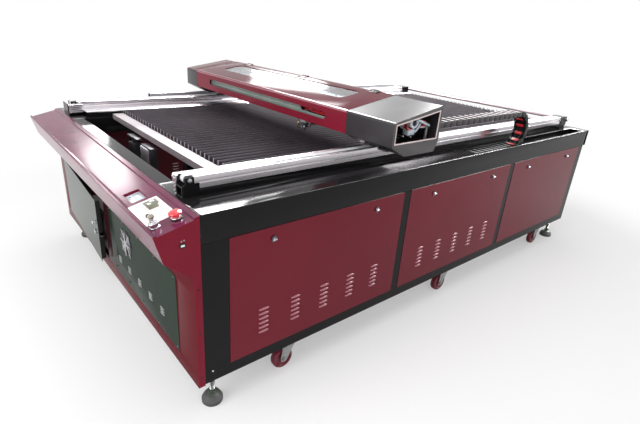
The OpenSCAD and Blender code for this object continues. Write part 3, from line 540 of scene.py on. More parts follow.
class Shape:
    """A mesh under construction, in the millimetres of a local frame."""

    def __init__(self, base: Matrix = MACHINE) -> None:
        """Start with nothing on a local frame."""
        self.mesh = bmesh.new()
        self.base = base

    def _bevel(self, verts: Iterable[bmesh.types.BMVert], size: float) -> None:
        """Round the sharp edges among some corners.

        Args:
            verts: The corners.
            size: Rounding of the edges between them, or 0 to leave them.
        """
        if size <= 0:
            return
        kept = set(verts)
        edges = {edge for vert in kept for edge in vert.link_edges if edge.other_vert(vert) in kept}
        sharp = [edge for edge in edges
                 if edge.is_manifold and edge.calc_face_angle() > math.radians(ADDED_BEVEL_FROM)]
        bmesh.ops.bevel(self.mesh, geom=sharp, offset=size, segments=2, profile=0.5,
                        affect="EDGES", material=-1, clamp_overlap=True)

    def box(self, low: Point, high: Point, bevel: float = 0.0) -> "Shape":
        """Add a box.

        Args:
            low: Its lowest corner.
            high: Its highest corner.
            bevel: Rounding of its edges.

        Returns:
            The shape itself.
        """
        start, end = Vector(low), Vector(high)
        matrix = Matrix.Translation((start + end) / 2) @ Matrix.Diagonal((*(end - start), 1))
        made = bmesh.ops.create_cube(self.mesh, size=1.0, matrix=matrix)
        self._bevel(made["verts"], bevel)
        return self

    def rod(self, start: Point, end: Point, radius: float, sides: int = 20,
            bevel: float = 0.0) -> "Shape":
        """Add a round rod.

        Args:
            start: The middle of one end.
            end: The middle of the other.
            radius: Its radius.
            sides: Flats round it.
            bevel: Rounding of its edges.

        Returns:
            The shape itself.
        """
        first, last = Vector(start), Vector(end)
        along = last - first
        matrix = (Matrix.Translation((first + last) / 2)
                  @ along.to_track_quat("Z", "Y").to_matrix().to_4x4())
        made = bmesh.ops.create_cone(self.mesh, cap_ends=True, segments=sides, radius1=radius,
                                     radius2=radius, depth=along.length, matrix=matrix)
        self._bevel(made["verts"], bevel)
        return self

    def turned(self, profile: Outline, foot: Point = (0, 0, 0), up: Point = (0, 0, 1),
               steps: int = 32) -> "Shape":
        """Spin a profile round an axis.

        Args:
            profile: Its points, each a radius and a height.
            foot: Where the height is 0.
            up: The way of the axis.
            steps: Flats round it.

        Returns:
            The shape itself.
        """
        work = bmesh.new()
        verts = [work.verts.new((radius, 0, height)) for radius, height in profile]
        edges = [work.edges.new(pair) for pair in zip(verts, verts[1:])]
        bmesh.ops.spin(work, geom=verts + edges, cent=(0, 0, 0), axis=(0, 0, 1),
                       angle=2 * math.pi, steps=steps, use_merge=True)
        bmesh.ops.remove_doubles(work, verts=work.verts, dist=0.001)
        bmesh.ops.recalc_face_normals(work, faces=work.faces)
        turn = Vector(up).to_track_quat("Z", "Y").to_matrix().to_4x4()
        return self.add(work, Matrix.Translation(foot) @ turn)

    def prism(self, outline: Outline, axis: str, low: float, high: float, bevel: float = 0.0,
              holes: Sequence[Outline] = ()) -> "Shape":
        """Draw an outline out along an axis.

        Args:
            outline: Corner points in the two other axes, in X, Y, Z order.
            axis: "X", "Y" or "Z".
            low: Where it starts on the axis.
            high: Where it ends.
            bevel: Rounding of its edges.
            holes: Outlines cut out of it.

        Returns:
            The shape itself.
        """
        def spot(first: float, second: float) -> Point:
            """Return a corner at the low end of the axis."""
            return {"X": (low, first, second), "Y": (first, low, second),
                    "Z": (first, second, low)}[axis]

        edges = []
        for ring in (outline, *holes):
            verts = [self.mesh.verts.new(spot(*corner)) for corner in ring]
            edges += [self.mesh.edges.new(pair) for pair in zip(verts, verts[1:] + verts[:1])]
        filled = bmesh.ops.triangle_fill(self.mesh, use_beauty=True, use_dissolve=True, edges=edges)
        faces = [item for item in filled["geom"] if isinstance(item, bmesh.types.BMFace)]
        grown = bmesh.ops.extrude_face_region(self.mesh, geom=faces)["geom"]
        moved = [item for item in grown if isinstance(item, bmesh.types.BMVert)]
        step = {"X": (1, 0, 0), "Y": (0, 1, 0), "Z": (0, 0, 1)}[axis]
        bmesh.ops.translate(self.mesh, verts=moved, vec=Vector(step) * (high - low))
        verts = list({vert for face in faces for vert in face.verts} | set(moved))
        near = {face for vert in verts for face in vert.link_faces}
        bmesh.ops.recalc_face_normals(self.mesh, faces=list(near))
        self._bevel(verts, bevel)
        return self

    def add(self, other: bmesh.types.BMesh, matrix: Matrix | None = None) -> "Shape":
        """Add a finished bmesh and free it.

        Args:
            other: The bmesh.
            matrix: A move for it, if any.

        Returns:
            The shape itself.
        """
        if matrix is not None:
            bmesh.ops.transform(other, matrix=matrix, verts=other.verts)
        scratch = bpy.data.meshes.new("scratch")
        other.to_mesh(scratch)
        other.free()
        self.mesh.from_mesh(scratch)
        bpy.data.meshes.remove(scratch)
        return self

    def stamp(self, pattern: bpy.types.Mesh, matrices: Iterable[Matrix]) -> "Shape":
        """Add copies of a pattern.

        Args:
            pattern: What is copied.
            matrices: Where each copy goes.

        Returns:
            The shape itself.
        """
        for matrix in matrices:
            work = bmesh.new()
            work.from_mesh(pattern)
            self.add(work, matrix)
        return self

    def pipe(self, points: Sequence[Point], radius: float, smooth: bool = True,
             sides: int = 8) -> "Shape":
        """Sweep a round section along a line.

        Args:
            points: The places that guide the line.
            radius: Of the section.
            smooth: Whether it curves past them or runs straight from each to the next.
            sides: Flats round it.

        Returns:
            The shape itself.
        """
        curve = bpy.data.curves.new("route", "CURVE")
        curve.dimensions = "3D"
        curve.bevel_depth = radius
        curve.bevel_resolution = sides // 2 - 2
        curve.use_fill_caps = True
        curve.resolution_u = 8
        spline = curve.splines.new("NURBS" if smooth else "POLY")
        spline.points.add(len(points) - 1)
        for point, spot in zip(spline.points, points):
            point.co = (*spot, 1.0)
        if smooth:
            spline.order_u = min(4, len(points))
            spline.use_endpoint_u = True
        holder = bpy.data.objects.new("route", curve)
        swept = bpy.data.meshes.new_from_object(holder)
        work = bmesh.new()
        work.from_mesh(swept)
        bpy.data.objects.remove(holder)
        bpy.data.curves.remove(curve)
        bpy.data.meshes.remove(swept)
        bmesh.ops.remove_doubles(work, verts=work.verts, dist=0.001)
        bmesh.ops.recalc_face_normals(work, faces=work.faces)
        return self.add(work)

    def pattern(self) -> bpy.types.Mesh:
        """Turn the shape into a mesh to be stamped many times.

        Returns:
            The mesh, in millimetres.
        """
        data = bpy.data.meshes.new("pattern")
        self.mesh.to_mesh(data)
        self.mesh.free()
        return data

    def piece(self, name: str, body: str | None, finish: Surface,
              replaces: Sequence[str] = ()) -> bpy.types.Object:
        """Turn the mesh into a piece of the machine.

        Args:
            name: The piece's name.
            body: The body it rides on, or None for a piece that is blended later.
            finish: Its surface.
            replaces: Model nodes that it stands for.

        Returns:
            The new object.
        """
        bmesh.ops.transform(self.mesh, matrix=self.base, verts=self.mesh.verts)
        data = bpy.data.meshes.new(name)
        self.mesh.to_mesh(data)
        self.mesh.free()
        return finished_object(name, data, body, (finish,), replaces, ADDED_SHARP)


def finished_object(name: str, data: bpy.types.Mesh, body: str | None,
                    finishes: Sequence[Surface], replaces: Sequence[str],
                    sharp: float) -> bpy.types.Object:
    """Link a mesh as a piece, ride it on its body and give it its finishes.

    Args:
        name: The piece's name.
        data: Its mesh, in metres.
        body: The body it rides on, or None for a piece that is blended later.
        finishes: Its surfaces, in the order of its faces' numbers.
        replaces: Model nodes that it stands for.
        sharp: Edges sharper than this, in degrees, stay sharp.

    Returns:
        The new object.
    """
    data.polygons.foreach_set("use_smooth", [True] * len(data.polygons))
    data.set_sharp_from_angle(angle=math.radians(sharp))
    for finish in finishes:
        data.materials.append(finish.material())
    made = bpy.data.objects.new(name, data)
    bpy.context.scene.collection.objects.link(made)
    if body:
        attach(made, body)
    if replaces:
        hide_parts(*replaces)
    LOG.info("%s: %d faces on %s", name, len(data.polygons), body or "two bodies")
    return made


def dress(node: str, *finishes: Surface, choose: Chooser | None = None) -> None:
    """Give a model node its finish, or several by where each face lies on the machine.

    Args:
        node: The node's name.
        *finishes: One or more surfaces.
        choose: Which finish a face takes, from its middle in the machine's millimetres.
    """
    data = frame["nodes"][node].data
    data.materials.clear()
    for finish in finishes:
        data.materials.append(finish.material())
    if choose:
        back = MACHINE.inverted()
        for face in data.polygons:
            face.material_index = choose(back @ face.center)
    LOG.info("%s wears %s", node, ", ".join(finish.name for finish in finishes))


def rounded(node: str, *finishes: Surface, radius: float, shortest: float,
            choose: Chooser | None = None, folds: Sequence[tuple[Point, Point]] = (),
            segments: int = 2, bend: float = 0.0,
            bent: Callable[[Vector, Vector], bool] | None = None) -> None:
    """Stand a copy of a folded or welded node in its place, with its long edges rounded.

    Args:
        node: The node's name.
        *finishes: One or more surfaces.
        radius: Rounding of the edges, in millimetres.
        shortest: Edges shorter than this keep their corner.
        choose: Which finish a face takes, from its middle in the machine's millimetres.
        folds: Planes, as a point and a normal in the machine's millimetres, that bound the soft
            bends of pressed sheet; with any, the rounding shades on into the flat beside it.
        segments: Flats in each rounding.
        bend: Radius of the edges that are bent wider than the others.
        bent: Whether an edge is one of those, from its ends in the machine's millimetres.
    """
    source = frame["nodes"][node]
    work = bmesh.new()
    work.from_mesh(source.data)
    bmesh.ops.remove_doubles(work, verts=work.verts, dist=0.01 * MM)
    bmesh.ops.dissolve_limit(work, angle_limit=math.radians(0.4), verts=work.verts,
                             edges=work.edges)
    for point, normal in folds:
        bmesh.ops.bisect_plane(work, geom=[*work.verts, *work.edges, *work.faces],
                               plane_co=MACHINE @ Vector(point), plane_no=Vector(normal))
    back = MACHINE.inverted()
    if bent:
        wide = [edge for edge in work.edges if edge.is_manifold and edge.is_convex
                and bent(back @ edge.verts[0].co, back @ edge.verts[1].co)]
        bmesh.ops.bevel(work, geom=wide, offset=bend * MM, segments=4, profile=0.5,
                        affect="EDGES", material=-1, clamp_overlap=True)
    edges = [edge for edge in work.edges
             if edge.is_manifold and edge.is_convex and edge.calc_length() > shortest * MM
             and edge.calc_face_angle() > math.radians(DRESSED_BEVEL_FROM)]
    bmesh.ops.bevel(work, geom=edges, offset=radius * MM, segments=segments,
                    profile=0.5, affect="EDGES", material=-1, clamp_overlap=True)
    if choose:
        for face in work.faces:
            face.material_index = choose(back @ face.calc_center_median())
    data = bpy.data.meshes.new(node + "_finished")
    work.to_mesh(data)
    work.free()
    finished_object(node + "_finished", data, source["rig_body"], finishes, (node,),
                    PRESSED_SHARP if folds else DRESSED_SHARP)


def louvre_hood(width: float, height: float, proud: float) -> bpy.types.Mesh:
    """Make one pressed louvre hood, open below, that stands out along -Y.

    Args:
        width: Across, in millimetres.
        height: From its mouth to its top.
        proud: How far it stands out.

    Returns:
        The hood round the middle of its mouth.
    """
    shape = Shape()
    work = shape.mesh
    bmesh.ops.create_uvsphere(work, u_segments=16, v_segments=8, radius=1.0)
    bmesh.ops.scale(work, vec=(width / 2, proud, height), verts=work.verts)
    for normal in ((0, 1, 0), (0, 0, -1)):
        geometry = work.verts[:] + work.edges[:] + work.faces[:]
        bmesh.ops.bisect_plane(work, geom=geometry, plane_co=(0, 0, 0), plane_no=normal,
                               clear_outer=True)
    bmesh.ops.solidify(work, geom=work.faces[:], thickness=0.8)
    return shape.pattern()


def cap_screw(radius: float, height: float) -> bpy.types.Mesh:
    """Make a socket screw's head that points along -Y.

    Args:
        radius: The head's radius, in millimetres.
        height: How far it stands out.

    Returns:
        The head round the middle of its foot.
    """
    profile = [(0, height * 0.4), (radius * 0.5, height * 0.4), (radius * 0.5, height),
               (radius * 0.85, height), (radius, height * 0.8), (radius, 0)]
    return Shape().turned(profile, up=(0, -1, 0), steps=12).pattern()


def at(x: float, y: float, z: float, turn: float = 0.0, axis: str = "Z") -> Matrix:
    """Return a move to a place after a turn in degrees about an axis."""
    return Matrix.Translation((x, y, z)) @ Matrix.Rotation(math.radians(turn), 4, axis)


def grid(columns: int, pitch: float, rows: int, row_pitch: float) -> list[tuple[float, float]]:
    """Return the places of a centred grid, across and up."""
    return [((column - (columns - 1) / 2) * pitch, (row - (rows - 1) / 2) * row_pitch)
            for column in range(columns) for row in range(rows)]


# ---------------------------------------------------------------- sub-assemblies

DOORS = (1, 2, 3)

# A door's pressed louvre hood: its width, height and reach, and how far it hangs below its slot
HOOD = (46.0, 8.0, 4.0)
HOOD_DROP = 2.5


@dataclass
class SideDoors:
    """The six side doors with their pressed louvres and cam locks."""

    columns: int = 5
    column_pitch: float = 154.0
    rows: int = 6
    row_pitch: float = 21.0
    louvre_middle: float = 138.0

    def build(self) -> None:
        """Finish every door and lock and press the louvres."""
        hood = louvre_hood(*HOOD)
        for side in Side:
            for door in DOORS:
                name = f"{side.word}_door_{door}"
                rounded(name, MAROON, radius=0.7, shortest=60.0)
                for end in "ab":
                    self._lock(f"{side.word}_lock_{door}{end}", side)
                if door < len(DOORS):
                    self._louvres(name, side, hood)

    @staticmethod
    def _lock(name: str, side: Side) -> None:
        """Finish one cam lock and stand the finger wings on its head.

        Args:
            name: The lock's node.
            side: Which side it is on.
        """
        dress(name, LOCK_STEEL)
        back = MACHINE.inverted()
        corners = [back @ vert.co for vert in frame["nodes"][name].data.vertices]
        face = max(corner.x * side.value for corner in corners)
        rim = [corner for corner in corners if corner.x * side.value > face - 0.1]
        y, z = ((min(spots) + max(spots)) / 2 for spots in zip(*(corner.yz for corner in rim)))
        wings = Shape(stand(side.value * face, y, z, 90 * side.value))
        wings.prism([(-9, 3.4), (-3, 1.6), (3, 1.6), (9, 3.4), (9, -3.4), (3, -1.6), (-3, -1.6),
                     (-9, -3.4)], "Y", -7.0, -0.1, 0.8)
        wings.rod((0, -0.1, 0), (0, -3.0, 0), 5.0, 20, bevel=0.6)
        wings.piece(f"{name}_wings", name, CHROME)

    def _louvres(self, name: str, side: Side, hood: bpy.types.Mesh) -> None:
        """Press the louvre hoods over one door's slots.

        Args:
            name: The door's node.
            side: Which side it is on.
            hood: One hood.
        """
        low, high = machine_y(name), machine_y(name, True)
        base = stand(side.value * HALF_WIDTH, (low + high) / 2, machine_z(name, False),
                     90 * side.value)
        places = [at(across, 0, self.louvre_middle + up - HOOD_DROP)
                  for across, up in grid(self.columns, self.column_pitch, self.rows, self.row_pitch)]
        # The hoods are pale pink as painted highlight
        Shape(base).stamp(hood, places).piece(f"{name}_louvres", name, LOUVRE_PAINTED_HIGHLIGHT)


@dataclass
class Cabinet:
    """The welded frame, its rims and the rear cover with its fittings."""

    sheet: float = 2.0
    beam_folds: Pair = (-829.0, 829.0)
    beam_end_folds: Pair = (8.0, 3002.0)
    beam_fold_drop: float = 12.0
    rim_inset: float = 345.0
    spigot_height: float = 400.0
    inlet: Pair = (-700.0, 150.0)
    louvre_sets: tuple[float, ...] = (-500.0, 500.0)
    louvre_middle: float = 220.0
    cover_screws_across: tuple[float, ...] = (-920.0, -460.0, 0.0, 460.0, 920.0)
    cover_screws_up: Pair = (16.0, 566.0)
    earth_screw: Pair = (31.0, 48.0)

    def build(self) -> None:
        """Finish the frame and the back."""
        dress("frame_tubes", BLACK)
        folds = [((x, 0, 0), (1, 0, 0)) for x in self.beam_folds]
        folds += [((0, y, 0), (0, 1, 0)) for y in self.beam_end_folds]
        folds += [((0, 0, machine_z("side_beams") - self.beam_fold_drop), (0, 0, 1))]
        rounded("side_beams", BLACK, radius=4.0, shortest=60.0, folds=folds)
        rounded("end_beams", BLACK, radius=1.6, shortest=40.0)
        rounded("rear_cover", MAROON, radius=0.8, shortest=60.0)
        self._rear()
        self._rims()

    def _rear(self) -> None:
        """Add louvres, the spigot's bead, the inlet's gland ring and the screws."""
        back = machine_y("rear_cover") + self.sheet
        places = [at(x + across, back, self.louvre_middle + up - HOOD_DROP, 180)
                  for x in self.louvre_sets for across, up in grid(5, 100, 6, 21)]
        # The hoods are pale pink as painted highlight
        Shape().stamp(louvre_hood(*HOOD), places).piece("rear_louvres", "frame", LOUVRE_PAINTED_HIGHLIGHT)
        ring = [(71.8, 0), (71.8, 3), (75.6, 3), (76.4, 1.5), (75.6, 0), (71.8, 0)]
        end = machine_y("rear_cover", True)
        Shape().turned(ring, (0, end - 3.5, self.spigot_height), (0, 1, 0), 64).piece(
            "exhaust_spigot_bead", "frame", MAROON)
        x, z = self.inlet
        gland = [(13, 0), (13, 6), (19, 6), (20, 5), (20, 0), (13, 0)]
        shape = Shape().turned(gland, (x, back + 18, z), (0, 1, 0), 6)
        shape.turned([(12.6, 0), (12.6, 9), (16, 9), (17, 7), (17, 0), (12.6, 0)],
                     (x, back + 20, z), (0, 1, 0), 32)
        shape.piece("mains_inlet_gland", "frame", MATT_BLACK)
        screw = cap_screw(5, 3)
        spots = [at(x, back, z, 180) for x in self.cover_screws_across for z in self.cover_screws_up]
        Shape().stamp(screw, spots).piece("rear_cover_screws", "frame", ZINC)

    def _rims(self) -> None:
        """Run the weld beads where the rims meet and add the earth screws."""
        seam = Shape()
        top = machine_z("side_beams") - 1.2
        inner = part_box("end_beams")[1].x / MM - self.rim_inset + 2.5
        for side in (-1, 1):
            seam.rod((side * inner, 2, top), (side * inner, 58, top), 1.8, 8)
        seam.piece("rim_weld_beads", "frame", BLACK)
        screws = Shape()
        for side in (-1, 1):
            screws.rod((side * (HALF_WIDTH - 2.3), *self.earth_screw),
                       (side * (HALF_WIDTH - 0.6), *self.earth_screw), 3.4, 16, bevel=0.5)
        screws.piece("earth_screws", "frame", WHITE_PANEL)


@dataclass
class FrontPanels:
    """The front cover with its ventilated panel, fan and storage door."""

    sheet: float = 2.0
    jamb_across: Pair = (-76.0, 6.0)
    jamb_up: Pair = (62.0, 398.0)
    vent_middle: Pair = (386.0, 163.0)
    hood: Point = (42.0, 2.8, 4.5)
    hood_drop: float = 2.0
    screws_across: tuple[float, ...] = (24.0, 212.0, 400.0, 588.0, 774.0)
    screws_up: Pair = (72.0, 388.0)
    fan: Pair = (249.0, 298.0)
    guard_radius: float = 62.0
    door_left: float = -862.0
    door_width: float = 787.0
    door_low: float = 60.0
    door_high: float = 400.0
    ajar: float = 2.6
    door_lap: float = 8.0
    door_lock: Pair = (63.0, 148.0)
    door_lock_gap: float = 11.0
    knob_height: float = 200.0

    def build(self) -> None:
        """Finish the front and add its louvres, guard cross, door edge and screws."""
        left, right = self.jamb_across
        low, high = self.jamb_up
        between = [((x, 0, 0), (1, 0, 0)) for x in (left, right)]
        between += [((0, 0, z), (0, 0, 1)) for z in (low, high)]

        # The jamb between the door and the vent panel takes dark maroon as painted shade
        def cover_finish(spot: Vector) -> int:
            """Return 2 for the ends, 1 for the jamb between door and panel, and 0 elsewhere."""
            if abs(spot.x) > HALF_WIDTH - 1:
                return 2
            return int(left < spot.x < right and low < spot.z < high)

        rounded("front_cover", FRONT_MAROON, DARK_MAROON_AND_PAINTED_SHADE, CONSOLE_END, radius=0.9, shortest=30.0,
                folds=between, choose=cover_finish)
        # The vent panel and the front door wear a green tint that is painted reflection of the floor
        rounded("front_vent_panel", VENT_PANEL_PAINTED_REFLECTION, radius=0.6, shortest=60.0)
        rounded("front_door", FRONT_DOOR_PAINTED_REFLECTION, radius=0.6, shortest=60.0)
        dress("front_door_lock", CHROME)
        front = machine_y("front_cover")
        dress("fan_unit", MATT_BLACK, GUARD, choose=lambda spot: int(spot.y < front - 0.5))
        dress("fan_rotor", MATT_BLACK)
        self._louvres(front - self.sheet)
        self._fan_cross(machine_y("fan_unit"))
        self._door_edge()
        self._screws(front - self.sheet)

    def _louvres(self, face: float) -> None:
        """Press the three rows of louvres in the ventilated panel.

        Args:
            face: Where the panel's face stands, behind the frame's front.
        """
        x, z = self.vent_middle
        places = [at(x + across, face, z + up - self.hood_drop)
                  for across, up in grid(5, 127, 3, 13)]
        # The hoods are pale grey as painted highlight
        Shape().stamp(louvre_hood(*self.hood), places).piece("front_louvres", "frame", FRONT_LOUVRE_PAINTED_HIGHLIGHT)

    def _fan_cross(self, face: float) -> None:
        """Weld the upright cross and the boss over the fan's guard.

        Args:
            face: Where the panel's face stands, behind the frame's front.
        """
        x, z = self.fan
        reach = self.guard_radius
        cross = Shape()
        cross.rod((x - reach, face - 1, z), (x + reach, face - 1, z), 2.6, 12, bevel=0.6)
        cross.rod((x, face - 1, z - reach), (x, face - 1, z + reach - 8), 2.6, 12, bevel=0.6)
        cross.turned([(0, 3), (13, 3), (15, 2), (15, 0), (0, 0)], (x, face + 0.6, z), (0, -1, 0), 28)
        cross.piece("fan_guard_cross", "frame", PALE_METAL)

    def _door_base(self) -> Matrix:
        """Return the front door's own frame: X across it, Z up, facing -Y."""
        return stand(self.door_left, machine_y("front_cover") - 2.3, self.door_low, -self.ajar)

    def _door_edge(self) -> None:
        """Fold the deep black edge down the door's free side, clear of the lock, and add a knob."""
        width, height = self.door_width, self.door_high - self.door_low
        edge = Shape(self._door_base())
        inner = width - self.door_lap - 1.5
        section = [(inner - 11, 2.2), (inner, 2.2), (inner, 16), (inner - 2, 24),
                   (inner - 8, 24), (inner - 11, 14)]
        inset, lock = self.door_lock
        edge.prism(section, "Z", self.door_lap + 2, lock - self.door_lock_gap, 1.2)
        edge.prism(section, "Z", lock + self.door_lock_gap, height - self.door_lap - 2, 1.2)
        edge.piece("front_door_edge", "front_door", RUBBER)
        pull = Shape(self._door_base())
        pull.turned([(0, 0), (9, 0), (9, 1.2), (6.4, 2.0), (6.4, 6), (10, 9), (10, 11), (8.6, 12.4),
                     (0, 12.8)], (width - inset, 0, self.knob_height), (0, -1, 0), 24)
        pull.piece("front_door_knob", "front_door", CHROME)

    def _screws(self, face: float) -> None:
        """Put the screws round the ventilated panel.

        Args:
            face: Where the panel's face stands, behind the frame's front.
        """
        spots = [at(x, face, z) for x in self.screws_across for z in self.screws_up]
        Shape().stamp(cap_screw(3.2, 1.8), spots).piece("vent_panel_screws", "frame", ZINC)


@dataclass
class Console:
    """The sloping console with its keypad, readout, stop button, key and side port."""

    slope: float = 13.95
    nose_height: float = 652.0
    sink: float = 6.0
    keypad_low: Pair = (-262.0, 15.0)
    keypad_size: Pair = (176.0, 104.0)
    readout_low: Pair = (-378.0, 38.0)
    readout_size: Pair = (92.0, 56.0)
    readout_sink: float = 11.0
    stop: Pair = (-55.0, 103.0)
    key: Pair = (-60.0, 31.0)
    cover_screws_up: Point = (420.0, 240.0, 40.0)

    def _base(self) -> Matrix:
        """Return the sunk panel's frame: X from the right end, Y up the slope, Z off the panel."""
        nose = machine_y("console")
        return (stand(HALF_WIDTH, nose, self.nose_height, 0, self.slope)
                @ Matrix.Translation((0, 0, -self.sink)))

    def build(self) -> None:
        """Finish the console and everything on it."""
        rounded("console", PLUM, CONSOLE_END, radius=1.2, shortest=30.0,
                choose=lambda spot: int(abs(spot.x) > HALF_WIDTH - 0.4))
        back = self._base().inverted() @ MACHINE

        def panel_finish(spot: Vector) -> int:
            """Return 0 for the keypad, 1 for the readout, and 2 or 3 for the switches' parts."""
            local = back @ spot
            if local.x < self.keypad_low[0] + self.keypad_size[0] + 1:
                return 0 if local.x > self.keypad_low[0] - 1 else 1
            return 2 if local.z > 4 or (local.xy - Vector(self.key)).length < 20 else 3

        dress("control_panels", WHITE_PANEL, READOUT, CHROME, MATT_BLACK, choose=panel_finish)
        dress("estop_button", RED)
        dress("key_switch", CHROME)
        self._keypad()
        self._readout()
        self._stop_and_key()
        self._end_port()

    def _keypad(self) -> None:
        """Add the keypad's window, bezel and keys."""
        left, low = self.keypad_low
        window = Shape(self._base())
        window.box((left + 14, low + 47, 1.4), (left + 82, low + 93, 2.3), 0.5)
        window.piece("keypad_window", "frame", SCREEN)
        rim = Shape(self._base())
        outer = [(left + 12, low + 45), (left + 84, low + 45), (left + 84, low + 95),
                 (left + 12, low + 95)]
        inner = [(left + 14.2, low + 47.2), (left + 81.8, low + 47.2), (left + 81.8, low + 92.8),
                 (left + 14.2, low + 92.8)]
        rim.prism(outer, "Z", 1.4, 2.6, 0.4, [inner]).piece("keypad_window_rim", "frame", KEY_ROSE)
        keys = Shape(self._base())
        for row in range(4):
            for column in range(4):
                x = left + 96 + column * 18
                y = low + 16 + row * 20
                keys.box((x, y, 1.4), (x + 12, y + 12, 2.3), 0.6)
        for column in range(3):
            x = left + 52 + column * 14
            keys.box((x, low + 10, 1.4), (x + 10, low + 20, 2.3), 0.6)
        keys.piece("keypad_keys", "frame", KEY_PALE)
        arrows = Shape(self._base())
        middle = (left + 28, low + 24)
        for across, along in ((0, 13), (0, -13), (13, 0), (-13, 0), (0, 0)):
            arrows.turned([(0, 0.9), (5.4, 0.9), (6, 0.5), (6, 0)],
                          (middle[0] + across, middle[1] + along, 1.5), steps=20)
        arrows.piece("keypad_jog_keys", "frame", KEY_ROSE)

    def _readout(self) -> None:
        """Line the readout's recess and add its glass and buttons."""
        left, low = self.readout_low
        width, depth = self.readout_size
        lining = Shape(self._base())
        outer, inner = ([(left - wide, low - wide), (left + width + wide, low - wide),
                         (left + width + wide, low + depth + wide), (left - wide, low + depth + wide)]
                        for wide in (1.4, 0.0))
        lining.prism(outer, "Z", -self.readout_sink + 0.1, -2.6, 0.0, [inner])
        lining.piece("readout_lining", "frame", CONSOLE_END)
        base = self._base() @ Matrix.Translation((0, 0, 3 - self.readout_sink))
        glass = Shape(base)
        glass.box((left + 8, low + 26, -3.2), (left + width - 8, low + depth - 4, -1.4), 0.6)
        glass.piece("readout_window", "frame", PALE_GLASS)
        parts = Shape(base)
        for across in (26, 68):
            parts.turned([(0, 3), (5.5, 3), (6.5, 2.2), (6.5, 0)], (left + across, low + 13, -3.1),
                         steps=24)
        parts.piece("readout_buttons", "frame", WHITE_PANEL)
        dark = Shape(base)
        dark.turned([(0, 4.2), (2.6, 4.2), (3.0, 3.6), (3.0, 0)], (left + 26, low + 13, -3.1), steps=20)
        dark.piece("readout_button_centre", "frame", MATT_BLACK)

    def _stop_and_key(self) -> None:
        """Add the stop button's collar rings and the key with its spare on a ring."""
        x, y = self.stop
        collar = Shape(self._base())
        collar.turned([(16.2, 0), (18.6, 0), (18.6, 2), (17.6, 3), (16.2, 3), (16.2, 0)],
                      (x, y, 0.1))
        collar.piece("stop_collar_nut", "frame", MATT_BLACK)
        ring = Shape(self._base())
        ring.turned([(16.2, 3.4), (17.2, 3.4), (17.6, 4), (17.6, 7.6), (17, 8.2), (16.2, 8.2),
                     (16.2, 3.4)], (x, y, 0))
        ring.piece("stop_collar_ring", "frame", CHROME)
        x, y = self.key
        nut = Shape(self._base())
        nut.turned([(14.2, 0), (17.4, 0), (17.4, 4.6), (14.2, 5.4), (14.2, 0)], (x, y, 0.1), steps=6)
        nut.turned([(14.2, 14), (15.4, 14), (15.8, 15), (15.8, 19), (15, 20), (14.2, 20),
                    (14.2, 14)], (x, y, 0))
        nut.piece("key_switch_ring", "frame", CHROME)
        grip = Shape(self._base())
        grip.rod((x - 3.2, y, 41), (x + 3.2, y, 41), 8.6, 24, bevel=0.8)
        grip.piece("key_grip", "key", KEY_STEEL)
        spare = Shape(self._base())
        loop = [(x + 8 * math.cos(angle) - 6, y - 3, 44 + 8 * math.sin(angle))
                for angle in (math.radians(step * 30) for step in range(13))]
        spare.pipe(loop, 0.8, smooth=False, sides=6)
        spare.rod((x - 13.4, y - 3, 40), (x - 15.8, y - 3, 40), 8.4, 24, bevel=0.5)
        spare.box((x - 15.4, y - 6, 12), (x - 13.8, y, 33), 0.4)
        spare.piece("spare_key", "key", KEY_STEEL)

    def _end_port(self) -> None:
        """Add the data port on the console's right end and the screws on both ends."""
        base = stand(HALF_WIDTH, 0, 0, 90)
        cover = Shape(base)
        around = [math.radians(step * 15 + 7.5) for step in range(24)]
        outline = [(-61 + 11 * math.copysign(abs(math.cos(angle)) ** 0.6, math.cos(angle)),
                    600 + 8 * math.copysign(abs(math.sin(angle)) ** 0.6, math.sin(angle)))
                   for angle in around]
        cover.prism(outline, "Y", -2.2, -0.1, 0.6)
        cover.piece("data_port_cover", "frame", MATT_BLACK)
        insert = Shape(base)
        insert.box((-67, -3.0, 597), (-54, -2.0, 604), 0.5)
        insert.piece("data_port_insert", "frame", WHITE_PANEL)
        screw = cap_screw(2.6, 1.8)
        Shape(base).stamp(screw, [at(-64, 0, 616), at(-55, 0, 618)]).piece(
            "data_port_screws", "frame", ZINC)
        dark = cap_screw(3.0, 1.6)
        for side in Side:
            base = stand(side.value * HALF_WIDTH, 0, 0, 90 * side.value)
            spots = [at(side.value * -14, 0, z) for z in self.cover_screws_up]
            Shape(base).stamp(dark, spots).piece(f"{side.word}_cover_screws", "frame", MATT_BLACK)


